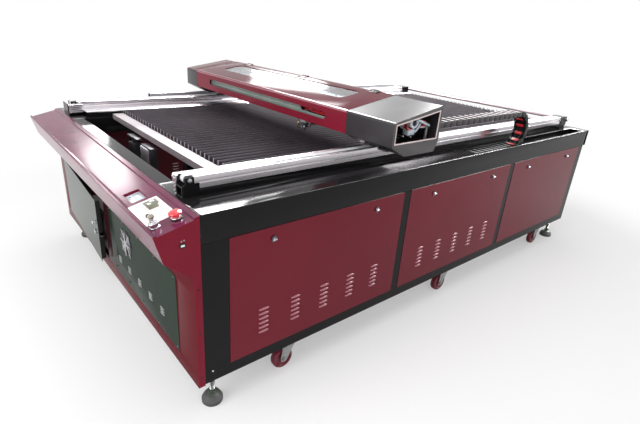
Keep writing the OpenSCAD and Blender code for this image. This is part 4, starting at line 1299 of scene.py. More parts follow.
@dataclass
class Table:
    """The slatted table, its beams and the combs that hold the slats."""

    count: int = 30
    pitch: float = 40.0
    comb_top: float = 727.0
    bar_height: float = 30.0
    between_beams: Pair = (273.0, 2911.0)
    bolts_across: tuple[float, ...] = (-560.0, -350.0, 350.0, 560.0)
    bolt_height: float = 691.0

    def build(self) -> None:
        """Finish the beams and slats and add the combs."""
        bar_top = machine_z("table_beams", False) + self.bar_height
        start, end = self.between_beams
        rounded("table_beams", TABLE_PAINT, MATT_BLACK, radius=1.6, shortest=30.0,
                choose=lambda spot: int(spot.z < bar_top or start < spot.y < end))
        dress("slats", SCORCHED)
        front = machine_y("slats") - 8
        rear = machine_y("slats", True) + 1
        for word, y in (("front", front), ("rear", rear)):
            self._comb(word, y)
        bolts = cap_screw(4.5, 4)
        spots = [at(x, machine_y("table_beams"), self.bolt_height) for x in self.bolts_across]
        Shape().stamp(bolts, spots).piece("table_beam_bolts", "frame", ZINC)

    def _comb(self, word: str, y: float) -> None:
        """Stand the strip at the slats' ends and the pins between them.

        Args:
            word: Which end.
            y: Where the strip starts.
        """
        strip = Shape()
        half = self.count * self.pitch / 2
        strip.box((-half, y, 677), (half, y + 2.5, 703), 0.6)
        strip.piece(f"{word}_slat_strip", "frame", COMB)
        pins = Shape()
        for index in range(self.count + 1):
            x = (index - self.count / 2) * self.pitch
            pins.prism([(x - 3, 690), (x + 3, 690), (x + 2.4, self.comb_top), (x, self.comb_top + 2),
                        (x - 2.4, self.comb_top)], "Y", y - 1.6, y - 0.1, 0.3)
        pins.piece(f"{word}_slat_pins", "frame", PIN_STEEL)


@dataclass
class Rails:
    """The two guide rails with their belts, idlers, tensioners and rear pulleys."""

    belt_width: float = 24.0
    belt_thickness: float = 1.6
    belt_middle: float = 760.0
    idler: Pair = (43.0, 750.0)
    idler_radius: float = 13.0
    belt_ends: Pair = (62.0, 2905.4)
    shaft: Pair = (2998.0, 740.0)
    shaft_reach: float = 745.0
    tray_starts: float = -903.0
    support_front: Pair = (15.5, 16.5)
    nose_middle: float = 707.0
    support_middle: float = 735.0
    flange_top: float = 722.0
    screws_across: Pair = (626.0, 700.0)
    first_screw: float = 150.0
    screw_pitch: float = 232.0
    screw_rows: int = 12

    def build(self) -> None:
        """Finish the rails and add what drives the gantry along them."""
        rounded("guide_rails", ALUMINIUM, radius=0.9, shortest=30.0)

        def support_finish(spot: Vector) -> int:
            """Return 1 for the left ledge's tray, 2 for the tubes' front ends and 0 elsewhere."""
            if spot.x < self.tray_starts:
                return 1
            return 2 if self.support_front[0] < spot.y < self.support_front[1] else 0

        rounded("rail_supports", BLACK, PALE_METAL, IRON, radius=1.2, shortest=30.0,
                choose=support_finish)
        shaft = Shape()
        y, z = self.shaft
        shaft.rod((-self.shaft_reach, y, z), (self.shaft_reach, y, z), 9.0, 24, bevel=0.8)
        shaft.piece("rear_cross_shaft", "frame", SHAFT_STEEL)
        for side in Side:
            dress(f"{side.word}_idler", ALLOY)
            self._belt(side)
            self._tensioner(side)
            self._rear_pulley(side)
            self._screws(side)

    def _belt(self, side: Side) -> None:
        """Run the flat belt round the idler and along the rail's top.

        Args:
            side: Which side it is on.
        """
        y, z = self.idler
        radius = self.idler_radius + 0.6
        thick = self.belt_thickness
        start, end = self.belt_ends
        outer = [(end, z + radius + thick)]
        outer += [(y + (radius + thick) * math.cos(angle), z + (radius + thick) * math.sin(angle))
                  for angle in (math.radians(90 + step * 15) for step in range(13))]
        outer += [(start + 6, z - radius - thick)]
        inner = [(start + 6, z - radius)]
        inner += [(y + radius * math.cos(angle), z + radius * math.sin(angle))
                  for angle in (math.radians(270 - step * 15) for step in range(13))]
        inner += [(end, z + radius)]
        x = side.value * self.belt_middle
        shape = Shape()
        shape.prism(outer + inner, "X", x - self.belt_width / 2, x + self.belt_width / 2, 0.4)
        shape.piece(f"{side.word}_drive_belt", "frame", WHITE_BELT)

    def _tensioner(self, side: Side) -> None:
        """Add the belt tensioner's bolts at the rail's front end and the idler's nut.

        Args:
            side: Which side it is on.
        """
        x = side.value * self.nose_middle
        nose = 24 if side is Side.RIGHT else 7
        bolts = Shape()
        for shift, z in ((-6, 745), (8, 741), (-5, 719), (8, 712)):
            bolts.rod((x + shift, nose - 5.5, z), (x + shift, nose, z), 4.6, 6, bevel=0.5)
        for shift, z in ((-3, 704), (5, 694.5)):
            across = side.value * self.support_middle + shift
            bolts.rod((across, 11, z), (across, 16, z), 3.6, 12, bevel=0.5)
        bolts.piece(f"{side.word}_tensioner_bolts", "frame", PALE_METAL)
        cap = Shape()
        middle = side.value * self.belt_middle
        for start, end, radius, sides, bevel in ((31, 35, 8.5, 6, 0.8), (35, 38, 4.6, 20, 0.5)):
            cap.rod((middle + side.value * start, *self.idler),
                    (middle + side.value * end, *self.idler), radius, sides, bevel=bevel)
        cap.piece(f"{side.word}_idler_nut", "frame", ZINC)

    def _rear_pulley(self, side: Side) -> None:
        """Stand the shaft's bearings behind the drive housing, with its pulley between them.

        Args:
            side: Which side it is on.
        """
        middle = side.value * self.belt_middle
        y, z = self.shaft
        blocks = Shape()
        for across in (-29, 21):
            blocks.box((middle + across, 2985.4, 700), (middle + across + 8, 3009, 762), 2.0)
        blocks.piece(f"{side.word}_rear_bearings", "frame", MATT_BLACK)
        pulley = Shape()
        pulley.turned([(0, -19), (9.5, -19), (9.5, -17), (8.2, -16.5), (8.2, 16.5), (9.5, 17),
                       (9.5, 19), (0, 19)], (middle, y, z), (1, 0, 0), 28)
        pulley.rod((middle - 36, y, z), (middle + 36, y, z), 4.5, 20, bevel=0.6)
        pulley.piece(f"{side.word}_rear_pulley", "frame", ALLOY)
        nut = Shape()
        end = side.value * 36
        nut.rod((middle + end, y, z), (middle + end + side.value * 8, y, z), 12, 24, bevel=2.0)
        nut.piece(f"{side.word}_rear_nut", "frame", CHROME)

    def _screws(self, side: Side) -> None:
        """Sink the screws that hold the rail's flange.

        Args:
            side: Which side the rail is on.
        """
        screw = Shape().turned([(0, 0.6), (2, 0.6), (2, 1.6), (3.6, 1.6), (4.2, 1.0), (4.2, 0)],
                               steps=10).pattern()
        spots = [at(side.value * x, self.first_screw + row * self.screw_pitch, self.flange_top)
                 for x in self.screws_across for row in range(self.screw_rows)]
        Shape().stamp(screw, spots).piece(f"{side.word}_rail_screws", "frame", ZINC)


@dataclass
class Gantry:
    """The moving bridge: end boxes, covers, laser tube, head and fittings."""

    depth: float = 316.0
    front_top: float = 920.0
    back_top: float = 976.0
    front_fold: float = 13.0
    fold_drop: float = 12.0
    left_box_from: float = -823.0
    cover_ends: Pair = (-824.0, 687.0)
    seams: Pair = (-826.0, 689.0)
    pane_depth: Pair = (100.0, 280.0)
    pane_across: Pair = (-698.0, 528.0)
    lid_thickness: float = 2.62
    mouth: float = 25.0
    tube: Pair = (185.0, 900.0)
    hinge_middles: tuple[float, ...] = (-654.0, -31.0, 560.0)
    hinge_reach: Pair = (34.0, 2.0)
    head_middle: float = 290.0
    head_depth: float = 80.0

    @staticmethod
    def _base() -> Matrix:
        """Return the gantry's frame, with Y from its front."""
        return stand(0, machine_y("gantry_frame"), 0)

    def _rise(self) -> float:
        """Return how much the top climbs per millimetre from front to back."""
        return (self.back_top - self.front_top) / self.depth

    def _top(self, depth: float) -> float:
        """Return the height of the top at a distance behind the front."""
        return self.front_top + self._rise() * depth

    def build(self) -> None:
        """Finish the bridge and everything in it."""
        front = machine_y("gantry_frame")
        bend = ((0, front + self.front_fold, 0), (0, 1, 0))
        slope = ((0, front, self.front_top - self.fold_drop), (0, -self._rise(), 1))

        def rolled(*ends: Vector) -> bool:
            """Return whether an edge is the top's front or back one."""
            at_front = all(end.y - front < 0.6 and end.z > self.front_top - 1 for end in ends)
            return at_front or all(end.y - front > self.depth - 0.6 and end.z > self.back_top - 1
                                   for end in ends)

        def frame_finish(spot: Vector) -> int:
            """Return 1 for the top of the left end box and 0 elsewhere."""
            above = spot.z - self._top(spot.y - front)
            return int(spot.x < self.left_box_from and above > -1.5)

        rounded("gantry_frame", GANTRY_BLACK, LID_MAROON, radius=2.6, shortest=24.0, segments=3,
                choose=frame_finish, folds=(bend, slope), bend=8.0, bent=rolled)
        rounded("gantry_cover", GANTRY_MAROON, radius=0.8, shortest=30.0)

        def lid_finish(spot: Vector) -> int:
            """Return 1 for the hinges behind the lid, 2 for its pane and 0 elsewhere."""
            depth = spot.y - front
            if depth > self.depth + 0.6:
                return 1
            inside = (self.pane_depth[0] < depth < self.pane_depth[1]
                      and self.pane_across[0] < spot.x < self.pane_across[1])
            return 2 if inside and self._top(depth) - spot.z > self.lid_thickness else 0

        rounded("gantry_lid", LID_MAROON, MATT_BLACK, PANE_GLASS, radius=1.1, shortest=24.0,
                choose=lid_finish, folds=(bend,), segments=3)
        # The rolled edge is pale pink as painted highlight
        edge = Shape(self._base())
        edge.prism([(9.0 + 10.4 * math.cos(math.radians(angle)),
                     self.front_top - 8.0 + 10.4 * math.sin(math.radians(angle)))
                    for angle in range(190, 70, -10)], "X", *self.cover_ends)
        edge.piece("lid_rolled_edge", "gantry_lid", ROLLED_EDGE_PAINTED_HIGHLIGHT)
        dress("laser_tube", TUBE_GLASS)
        rounded("head_carriage", ALLOY, radius=0.8, shortest=8.0)
        dress("lens_tube", DARK_METAL)
        self._mouth_trim()
        self._tube_parts()
        self._fittings()
        self._shield()
        self._motion()
        self._head()
        self._small_parts()

    def _mouth_trim(self) -> None:
        """Fold the bright edge round the right end box's mouth and line the covers' seams."""
        face = HALF_WIDTH + self.mouth
        outer = [(14, 911), (304, 956), (302, 826), (14, 825)]
        inner = [(19.5, 906), (298.5, 948.5), (296.5, 831.5), (19.5, 830.5)]
        trim = Shape(self._base())
        trim.prism(outer, "X", face - 3.4, face - 0.15, 0.5, [inner])
        trim.piece("gantry_mouth_trim", "gantry", TRIM)
        seam = Shape(self._base())
        for x in self.seams:
            seam.rod((x, 1.2, self.front_top - 104), (x, 1.2, self.front_top - 3), 1.4, 8)
            seam.rod((x, 1.5, self.front_top - 0.6),
                     (x, self.depth - 2, self._top(self.depth - 3) - 0.6), 1.3, 8)
        seam.piece("gantry_seams", "gantry", MATT_BLACK)

    def _tube_parts(self) -> None:
        """Build the laser tube's inner bore, electrodes and cooling ends."""
        y, z = self.tube
        inner = Shape(self._base())
        inner.turned([(0, -690), (7, -690), (7, 790), (0, 790)], (0, y, z), (1, 0, 0), 24)
        inner.turned([(26, -700), (28, -700), (28, 800), (26, 800), (26, -700)], (0, y, z),
                     (1, 0, 0), 40)
        inner.piece("laser_inner_tubes", "gantry", DISCHARGE_TUBE)
        metal = Shape(self._base())
        for start, end in ((-752, -712), (812, 862)):
            metal.turned([(0, start), (30, start), (33, start + 4), (33, end - 4), (30, end),
                          (0, end)], (0, y, z), (1, 0, 0), 40)
        metal.piece("laser_electrodes", "gantry", CHROME)
        caps = Shape(self._base())
        for start, sense in ((870, 1), (-760, -1)):
            caps.turned([(22.3, 0), (38, 0), (40, 2), (40, 10), (30, 14), (22.3, 14), (22.3, 0)],
                        (start, y, z), (sense, 0, 0), 40)
        caps.piece("laser_end_rings", "gantry", WHITE_PANEL)
        straps = Shape(self._base())
        for x in (-600, 0, 600):
            straps.turned([(40.4, -9), (41.6, -9), (41.6, 9), (40.4, 9), (40.4, -9)], (x, y, z),
                          (1, 0, 0), 40)
        straps.piece("laser_straps", "gantry", MATT_BLACK)

    def _fittings(self) -> None:
        """Add the hoses, fittings, mirror mount and earth wires seen through the mouth."""
        hose = Shape(self._base())
        hose.pipe([(905, 150, 893), (918, 144, 886), (926, 138, 878), (934, 150, 868),
                   (930, 168, 866), (912, 176, 872), (880, 178, 874), (800, 180, 872)], 6.0)
        hose.pipe([(905, 196, 908), (920, 214, 906), (934, 232, 903), (938, 256, 899),
                   (932, 262, 886), (920, 244, 878), (926, 222, 876), (930, 204, 880)], 6.0)
        hose.piece("silicone_hoses", "gantry", RED_SILICONE)
        white = Shape(self._base())
        white.turned([(15, 0), (24, 0), (26, 2), (26, 20), (23, 23), (15, 23), (15, 0)],
                     (911, 185, 898), (1, -0.1, 0.05), 32)
        white.box((905, 140, 846), (938, 186, 872), 4.0)
        white.pipe([(936, 184, 858), (938, 200, 870), (936, 216, 884), (930, 224, 892)], 5.0)
        white.pipe([(936, 196, 912), (940, 222, 905), (940, 250, 893), (936, 282, 881)], 6.5)
        white.piece("hose_fittings", "gantry", PALE_GLASS)
        dark = Shape(self._base())
        dark.turned([(0, 0), (14.8, 0), (15, 1), (15, 12), (0, 14)], (914, 185, 898),
                    (1, -0.1, 0.05), 28)
        dark.piece("fitting_bore", "gantry", DARK_METAL)
        post = Shape(self._base())
        post.box((925, 272, 783), (934, 281, 878), 1.0)
        post.box((925, 228, 872), (934, 280, 879), 1.0)
        post.box((912, 262, 780), (948, 290, 784), 0.8)
        post.piece("mirror_post", "gantry", PALE_METAL)
        mount = Shape(self._base())
        mount.box((842, 60, 772.5), (900, 100, 780), 1.2)
        mount.box((848, 72, 780), (892, 82, 838), 1.2)
        mount.turned([(0, 0), (15, 0), (17, 2), (17, 9), (13, 11), (0, 11)], (870, 71.5, 812),
                     (0, -1, 0), 32)
        mount.piece("mirror_mount", "gantry", DARK_METAL)
        screws = Shape(self._base())
        for x, z in ((854, 832), (886, 832), (886, 790)):
            screws.rod((x, 62, z), (x, 71.5, z), 4.4, 16, bevel=0.8)
        for y, z in ((118, 845), (171, 837)):
            screws.rod((922, y, z), (932, y, z), 4.0, 12, bevel=0.6)
            screws.rod((900, y, z), (922, y, z), 2.0, 8)
        screws.piece("mount_screws", "gantry", PALE_METAL)
        wires = Shape(self._base())
        wires.pipe([(700, 60, 905), (760, 56, 902), (840, 66, 884), (890, 90, 884), (918, 116, 890)],
                   2.6, sides=6)
        wires.pipe([(700, 64, 898), (770, 62, 894), (846, 60, 876), (900, 76, 850), (930, 90, 840)],
                   2.2, sides=6)
        wires.piece("earth_wires", "gantry", GREEN_WIRE)

    def _shield(self) -> None:
        """Hang the grey belt shield behind the slot, with wires and fittings at its right end."""
        shield = Shape(self._base())
        shield.prism([(12, 846), (15, 846), (15, 866), (19, 869), (15, 872), (15, 892), (12, 892),
                      (12, 873.5), (15.4, 869), (12, 864.5)], "X", -650, 330, 0.4)
        shield.prism([(12, 846), (14, 846), (14, 860), (12, 860)], "X", 330, 530, 0.4)
        shield.piece("belt_shield", "gantry", SHIELD_GREY)
        wires = Shape(self._base())
        wires.pipe([(300, 22, 880), (370, 18, 876), (430, 26, 884), (470, 20, 868), (520, 24, 874)],
                   3.0, sides=6)
        wires.pipe([(350, 30, 866), (420, 22, 872), (480, 28, 858), (540, 30, 864)], 3.0, sides=6)
        wires.piece("slot_wires", "gantry", RED_SILICONE)
        box = Shape(self._base())
        box.box((400, 34, 852), (460, 60, 884), 2.0)
        box.box((478, 30, 848), (512, 52, 878), 2.0)
        box.piece("slot_fittings", "gantry", DARK_METAL)

    def _motion(self) -> None:
        """Add the head's guide rod, belt, motor and the gantry's own drive."""
        rod = Shape(self._base())
        rod.rod((-815, 128, 863), (678, 128, 863), 5.0, 24)
        rod.piece("head_guide_rod", "gantry", CHROME)
        belt = Shape(self._base())
        belt.box((-812, 110, 857), (676, 112, 867), 0.3)
        belt.piece("head_belt", "gantry", RUBBER)
        ends = Shape(self._base())
        for x in (-823, 672):
            ends.box((x, 104, 850), (x + 14, 134, 876), 1.2)
        ends.piece("head_rod_blocks", "gantry", ALLOY)
        motor = Shape(self._base())
        motor.box((-912, 60, 800), (-850, 122, 858), 3.0)
        motor.box((-914, 64, 804), (-912, 118, 854), 0.8)
        motor.piece("head_motor", "gantry", MATT_BLACK)
        drive = Shape(self._base())
        drive.box((-955, 150, 782), (-893, 212, 838), 3.0)
        drive.rod((-892, 181, 810), (-872, 181, 810), 14, 24, bevel=0.8)
        drive.piece("bridge_motor", "gantry", MATT_BLACK)

    def _head(self) -> None:
        """Dress the cutting head with its nozzle, hose, pointer and screws."""
        x = self.head_middle
        lens = self._base() @ Matrix.Translation((x, self.head_depth, 0))
        focus = Shape(lens)
        focus.turned([(21.2, 0), (26, 0), (27, 1.5), (27, 12), (26, 13.5), (21.2, 13.5), (21.2, 0)],
                     (0, 0, 839), steps=28)
        focus.piece("focus_ring", "lens", ALLOY)
        tip = Shape(lens)
        tip.turned([(15.2, 0), (17, 0), (17.5, 1), (17.5, 7), (15.2, 8), (15.2, 0)],
                   (0, 0, 757), steps=28)
        tip.rod((15, 0, 761), (27, -2, 762), 3.2, 12)
        tip.piece("nozzle_collar", "lens", MATT_BLACK)
        thumb = Shape(lens)
        thumb.rod((0, -15, 760), (0, -27, 760), 4.8, 16, bevel=1.0)
        thumb.rod((11, -11, 760), (18, -19, 760), 4.4, 16, bevel=0.8)
        thumb.piece("nozzle_thumbscrews", "lens", CHROME)
        pointer = Shape(lens)
        pointer.rod((-60, 0, 744), (-60, 0, 772), 5.5, 16, bevel=0.8)
        pointer.piece("pointer_barrel", "lens", BRASS)
        arm = Shape(lens)
        arm.box((-66, -5, 758), (-17, 5, 764), 0.8)
        arm.piece("pointer_arm", "lens", DARK_METAL)
        carriage = self._base() @ Matrix.Translation((x, 0, 0))
        screws = Shape(carriage)
        for across in (-34, 34):
            screws.rod((across, 66, 796.5), (across, 56, 796.5), 5, 16, bevel=0.8)
        for across in (-56, -40, 40, 56):
            for height in (788, 838):
                screws.rod((across, 120.5, height), (across, 122.6, height), 4, 12, bevel=0.4)
        screws.piece("head_screws", "head", CHROME)
        bracket = Shape(carriage)
        bracket.box((-30, 112.8, 850.3), (30, 122.3, 872), 1.0)
        bracket.box((34, 88, 778), (64, 122.3, 781), 0.6)
        bracket.piece("belt_clamp", "head", MATT_BLACK)
        line = Shape(carriage)
        line.pipe([(27, 78, 762), (44, 74, 763), (58, 76, 780), (60, 92, 806), (54, 100, 840),
                   (44, 104, 872), (20, 100, 890), (-40, 96, 893)], 3.0)
        hose = line.piece("air_hose", None, MATT_BLACK)
        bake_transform(hose)

    def _small_parts(self) -> None:
        """Screw the covers down and add the lid's hinge plates with their screws."""
        spots = [at(x, 0, z) for x in (-812, 676) for z in (822, 908)]
        spots += [at(x, 0, 826) for x in (-400, -100, 200)]
        Shape(self._base()).stamp(cap_screw(3.4, 2.0), spots).piece(
            "gantry_cover_screws", "gantry", GANTRY_MAROON)
        start, end = (self.depth - reach for reach in self.hinge_reach)
        plates = Shape(self._base())
        for middle in self.hinge_middles:
            plates.prism([(start, self._top(start) + 0.3), (end, self.back_top + 0.3),
                          (end, self.back_top + 2.6), (start, self._top(start) + 2.2)],
                         "X", middle - 34, middle + 34, 0.6)
        plates.piece("lid_hinge_plates", "gantry_lid", DARK_MAROON_AND_PAINTED_SHADE)
        pins = Shape(self._base())
        y = self.depth - 16
        for middle in self.hinge_middles:
            for across in (-12, 12):
                pins.turned([(0, 1.4), (2.4, 1.4), (3.0, 0.8), (3.0, 0)],
                            (middle + across, y, self._top(y) + 2.4), steps=12)
        pins.piece("lid_hinge_screws", "gantry_lid", ZINC)


@dataclass
class DragChain:
    """The cable chain that follows the gantry, made of linked side plates and bars."""

    middle: float = 888.0
    width: float = 76.0
    height: float = 28.0
    pitch: float = 50.0
    radius: float = 100.0
    bend: float = 2015.0
    start: float = 1166.0
    low_start: float = 630.0
    low_middle: float = 670.0
    cables: tuple[Pair, ...] = ((-18.0, 6.0), (-2.0, 5.0), (13.0, 6.0))

    def _high_middle(self) -> float:
        """Return the height of the upper run's middle."""
        return self.low_middle + 2 * self.radius

    def _turning(self) -> int:
        """Return how many links lie in the bend."""
        return round(math.pi * self.radius / self.pitch)

    def _plates(self) -> bpy.types.Mesh:
        """Make one link's two side plates.

        Returns:
            The plates, lying along Y round the link's middle.
        """
        half = self.pitch / 2
        shape = Shape()
        reach = self.height / 2
        arc = [(half - 3 + reach * 0.9 * math.cos(angle), reach * 0.92 * math.sin(angle))
               for angle in (math.radians(-90 + step * 30) for step in range(7))]
        outline = [(-half + 6, -reach * 0.92)] + arc + [(-half + 6, reach * 0.92)]
        for side in (-1, 1):
            inner = side * (self.width / 2 - 5.5)
            outer = side * (self.width / 2 - 3)
            shape.prism(outline, "X", min(inner, outer), max(inner, outer), 0.5)
            inner, outer = outer, side * self.width / 2
            shape.prism([(-half + 4.5, -reach), (half - 4.5, -reach), (half - 1, 2),
                         (half - 1, reach), (-half + 1, reach), (-half + 1, 2)],
                        "X", min(inner, outer), max(inner, outer), 0.5)
        return shape.pattern()

    def _bars(self) -> bpy.types.Mesh:
        """Make one link's cross bars, above and below.

        Returns:
            The bars, round the link's middle.
        """
        shape = Shape()
        for height in (-self.height / 2 + 1.2, self.height / 2 - 1.2):
            shape.box((-self.width / 2 + 3, -10, height - 1.2), (self.width / 2 - 3, 6, height + 1.2),
                      0.5)
        return shape.pattern()

    def _upper(self) -> list[Matrix]:
        """Lay out the upper run.

        Returns:
            The places of its links.
        """
        length = self.bend - self.start
        count = round(length / self.pitch)
        return [at(self.middle, self.start + (index + 0.5) * length / count, self._high_middle())
                for index in range(count)]

    def _lower(self) -> list[Matrix]:
        """Lay out the bend and the lower run.

        Returns:
            The places of their links, the bend's first.
        """
        centre = self.low_middle + self.radius
        count = self._turning()
        places = []
        for index in range(count):
            angle = 90 - (index + 0.5) * 180 / count
            places.append(at(self.middle, self.bend, centre, angle - 90, "X")
                          @ Matrix.Translation((0, 0, self.radius)))
        length = self.bend - self.low_start
        count = round(length / self.pitch)
        places += [at(self.middle, self.low_start + (index + 0.5) * length / count, self.low_middle)
                   for index in range(count)]
        return places

    def build(self) -> None:
        """Build the chain, the cables in it and the bracket that ties it to the gantry."""
        plates, bars = self._plates(), self._bars()
        upper = Shape().stamp(plates, self._upper()).piece(
            "chain_upper_links", None, CHAIN_BLACK, ("chain_run",))
        tie = Shape().stamp(bars, self._upper()).piece("chain_upper_bars", None, CHAIN_GREY)
        cable = Shape()
        top = self._high_middle()
        for across, radius in self.cables:
            spots = [(self.middle + across, self.start + share * (self.bend - self.start) / 16,
                      top - 2) for share in range(17)]
            cable.pipe(spots, radius, smooth=False)
        inner = cable.piece("chain_upper_cables", None, MATT_BLACK)
        for made in (upper, tie, inner):
            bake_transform(made)
        Shape().stamp(plates, self._lower()).piece(
            "chain_lower_links", "chain_bend", MATT_BLACK, ("chain_bend",))
        lower, turning = self._lower(), self._turning()
        Shape().stamp(bars, lower[turning:]).piece("chain_lower_bars", "chain_bend", MATT_BLACK)
        Shape().stamp(bars, lower[:turning]).piece("chain_bend_bars", "chain_bend", MATT_BLACK)
        low = -self.height / 2
        tab = Shape().box((-20, -9, low - 0.4), (20, 7, low + 2.4), 0.5).pattern()
        Shape().stamp(tab, lower[1:turning]).piece("chain_bend_tabs", "chain_bend", CHAIN_RED)
        self._band()
        self._lower_cables()
        bracket = Shape()
        bracket.box((self.middle - 34, self.start - 4.5, top - 15),
                    (self.middle + 34, self.start - 0.5, top + 15), 0.8)
        bracket.piece("chain_bracket", "gantry", ZINC)

    def _band(self) -> None:
        """Close the bend's outside with a thin band."""
        band = Shape(stand(0, self.bend, self.low_middle + self.radius))
        arc = [math.radians(90 - step * 12) for step in range(16)]
        outer, inner = ([(radius * math.cos(angle), radius * math.sin(angle)) for angle in arc]
                        for radius in (112.4, 110.6))
        band.prism(outer + inner[::-1], "X", self.middle - 33, self.middle + 33, 0.3)
        band.piece("chain_bend_band", "chain_bend", MATT_BLACK)

    def _lower_cables(self) -> None:
        """Run the cables round the bend and along the trough."""
        shape = Shape()
        centre = self.low_middle + self.radius
        radius = self.radius - 2
        for across, size in self.cables:
            x = self.middle + across
            spots = [(x, self.bend + radius * math.cos(angle), centre + radius * math.sin(angle))
                     for angle in (math.radians(90 - step * 12) for step in range(16))]
            spots += [(x, self.bend - step * 138, self.low_middle + 2) for step in range(1, 11)]
            shape.pipe(spots, size, smooth=False)
        shape.piece("chain_lower_cables", "chain_bend", MATT_BLACK)


@dataclass
class WheelsAndFeet:
    """The swivel castors with their brakes, and the levelling feet."""

    across: float = 886.0
    castors: tuple[float, ...] = (432.0, 1576.0, 2748.0)
    axle: Pair = (-38.0, -105.0)
    foot_across: float = 888.0
    feet: Pair = (55.0, 2955.0)
    plate_under: float = -5.0
    pad_top: float = -117.0
    thread_low: float = -96.0
    thread_pitch: float = 2.5
    thread_turns: int = 33

    def build(self) -> None:
        """Finish the castors and feet and add their small parts."""
        dress("feet_and_castor_plates", FOOT_BLACK, IRON, ZINC, choose=self._foot_finish)
        for side in Side:
            for number, y in enumerate(self.castors, 1):
                self._castor(side, number, y)
            for number, y in enumerate(self.feet, 1):
                self._foot(side, number, y)

    def _foot_finish(self, spot: Vector) -> int:
        """Return 2 for a castor's plate, 1 for a foot's stem and 0 for its pad."""
        if spot.z > self.plate_under:
            return 2
        return 0 if spot.z < self.pad_top else 1

    def _castor(self, side: Side, number: int, y: float) -> None:
        """Finish one castor and add its brake pedal, hub and plate bolts.

        Args:
            side: Which side it is on.
            number: Which it is, from the front.
            y: Where it stands.
        """
        fork = f"{side.word}_castor_fork_{number}"
        wheel = f"{side.word}_castor_wheel_{number}"
        dress(fork, ZINC)
        dress(wheel, TYRE)
        base = stand(side.value * self.across, y, 0)
        brake = Shape(base)
        brake.prism([(-24, -34), (-6, -26), (24, -24), (40, -30), (44, -36), (40, -38), (24, -30),
                     (-4, -32), (-22, -40)], "X", -13, 13, 1.2)
        brake.piece(f"{side.word}_castor_brake_{number}", fork, CASTOR_PEDAL)
        hub = Shape(base)
        for sense in (-1, 1):
            hub.turned([(7, 0), (13.6, 0), (13.6, 1.4), (11, 2), (7, 2), (7, 0)],
                       (sense * 11.5, *self.axle), (sense, 0, 0), 24)
            hub.rod((sense * 13.0, *self.axle), (sense * 17.0, *self.axle), 7.4, 6, bevel=0.8)
        hub.piece(f"{side.word}_castor_hub_{number}", wheel, CHROME)
        bolts = Shape(base)
        for across in (-29, 29):
            for along in (-34, 34):
                bolts.rod((across, along, -4), (across, along, -9), 5.5, 6, bevel=0.6)
        bolts.piece(f"{side.word}_castor_bolts_{number}", "frame", ZINC)

    def _foot(self, side: Side, number: int, y: float) -> None:
        """Cut the thread on one foot's stem.

        Args:
            side: Which side it is on.
            number: Which it is, from the front.
            y: Where it stands.
        """
        thread = Shape(stand(side.value * self.foot_across, y, 0))
        profile = [(9.6, 0)]
        for turn in range(self.thread_turns):
            z = turn * self.thread_pitch
            profile += [(9.8, z + 0.3), (10.9, z + 1.25), (9.8, z + 2.2)]
        profile += [(9.6, self.thread_turns * self.thread_pitch), (9.6, 0)]
        thread.turned(profile, (0, 0, self.thread_low), steps=24)
        thread.piece(f"{side.word}_foot_thread_{number}", "frame", ZINC)


@dataclass
class Interior:
    """What stands in the front well and the cabinet: supply, controller, gearbox and wires."""

    vents: int = 11
    vent_pitch: float = 20.0
    terminals: int = 8
    terminal_pitch: float = 30.0
    fins: int = 6
    fin_pitch: float = 18.0

    def build(self) -> None:
        """Finish the supply and add the electrics and the table's lift."""
        rounded("power_supply", CASE_GREY, radius=0.8, shortest=40.0)
        self._supply()
        self._lift()
        self._wires()

    def _supply(self) -> None:
        """Add the supply's vent slots and terminals."""
        # The vent slots are black strips: painted shade standing in for the dark inside the case
        vents = Shape()
        for index in range(self.vents):
            x = -570 + index * self.vent_pitch
            vents.box((x, 28.6, 120), (x + 8, 29.9, 200), 0.4)
            vents.box((x, 210.1, 120), (x + 8, 211.4, 200), 0.4)
        vents.piece("supply_vents", "frame", MATT_BLACK)
        block = Shape()
        for index in range(self.terminals):
            x = -560 + index * self.terminal_pitch
            block.box((x, 212, 66), (x + 24, 222, 92), 1.0)
        block.piece("supply_terminals", "frame", WHITE_PANEL)

    def _lift(self) -> None:
        """Hang the table's lifting gearbox, its screw and the controller behind the front."""
        gear = Shape()
        gear.box((-236, 172, 556), (-168, 214, 636), 3.0)
        gear.box((-256, 176, 660), (-124, 210, 668), 1.5)
        gear.rod((-204, 195, 636), (-204, 195, 660), 12, 24, bevel=0.8)
        gear.piece("lift_gearbox", "frame", DARK_METAL)
        screw = Shape()
        screw.rod((-212, 180, 380), (-212, 180, 556), 7, 20, bevel=0.8)
        screw.rod((-212, 180, 330), (-212, 180, 380), 14, 24, bevel=1.0)
        screw.piece("lift_screw", "frame", PALE_METAL)
        case = Shape()
        case.box((-60, 176, 560), (60, 212, 662), 2.0)
        case.piece("controller_case", "frame", DARK_METAL)
        fins = Shape()
        for index in range(self.fins):
            x = -50 + index * self.fin_pitch
            fins.box((x, 168, 580), (x + 5, 175.8, 656), 0.5)
        fins.piece("controller_fins", "frame", PALE_METAL)

    @staticmethod
    def _wires() -> None:
        """Run the loom from the supply up to the console."""
        loom = Shape()
        loom.pipe([(-400, 222, 80), (-400, 232, 120), (-330, 150, 260), (-100, 90, 420),
                   (200, 60, 520), (500, 50, 560), (560, 20, 590)], 6.0)
        loom.pipe([(0, 190, 560), (0, 160, 500), (30, 90, 440), (100, 70, 420),
                   (420, 56, 520), (560, 16, 580)], 4.0)
        loom.piece("wiring_loom", "frame", MATT_BLACK)


# ---------------------------------------------------------------- surroundings


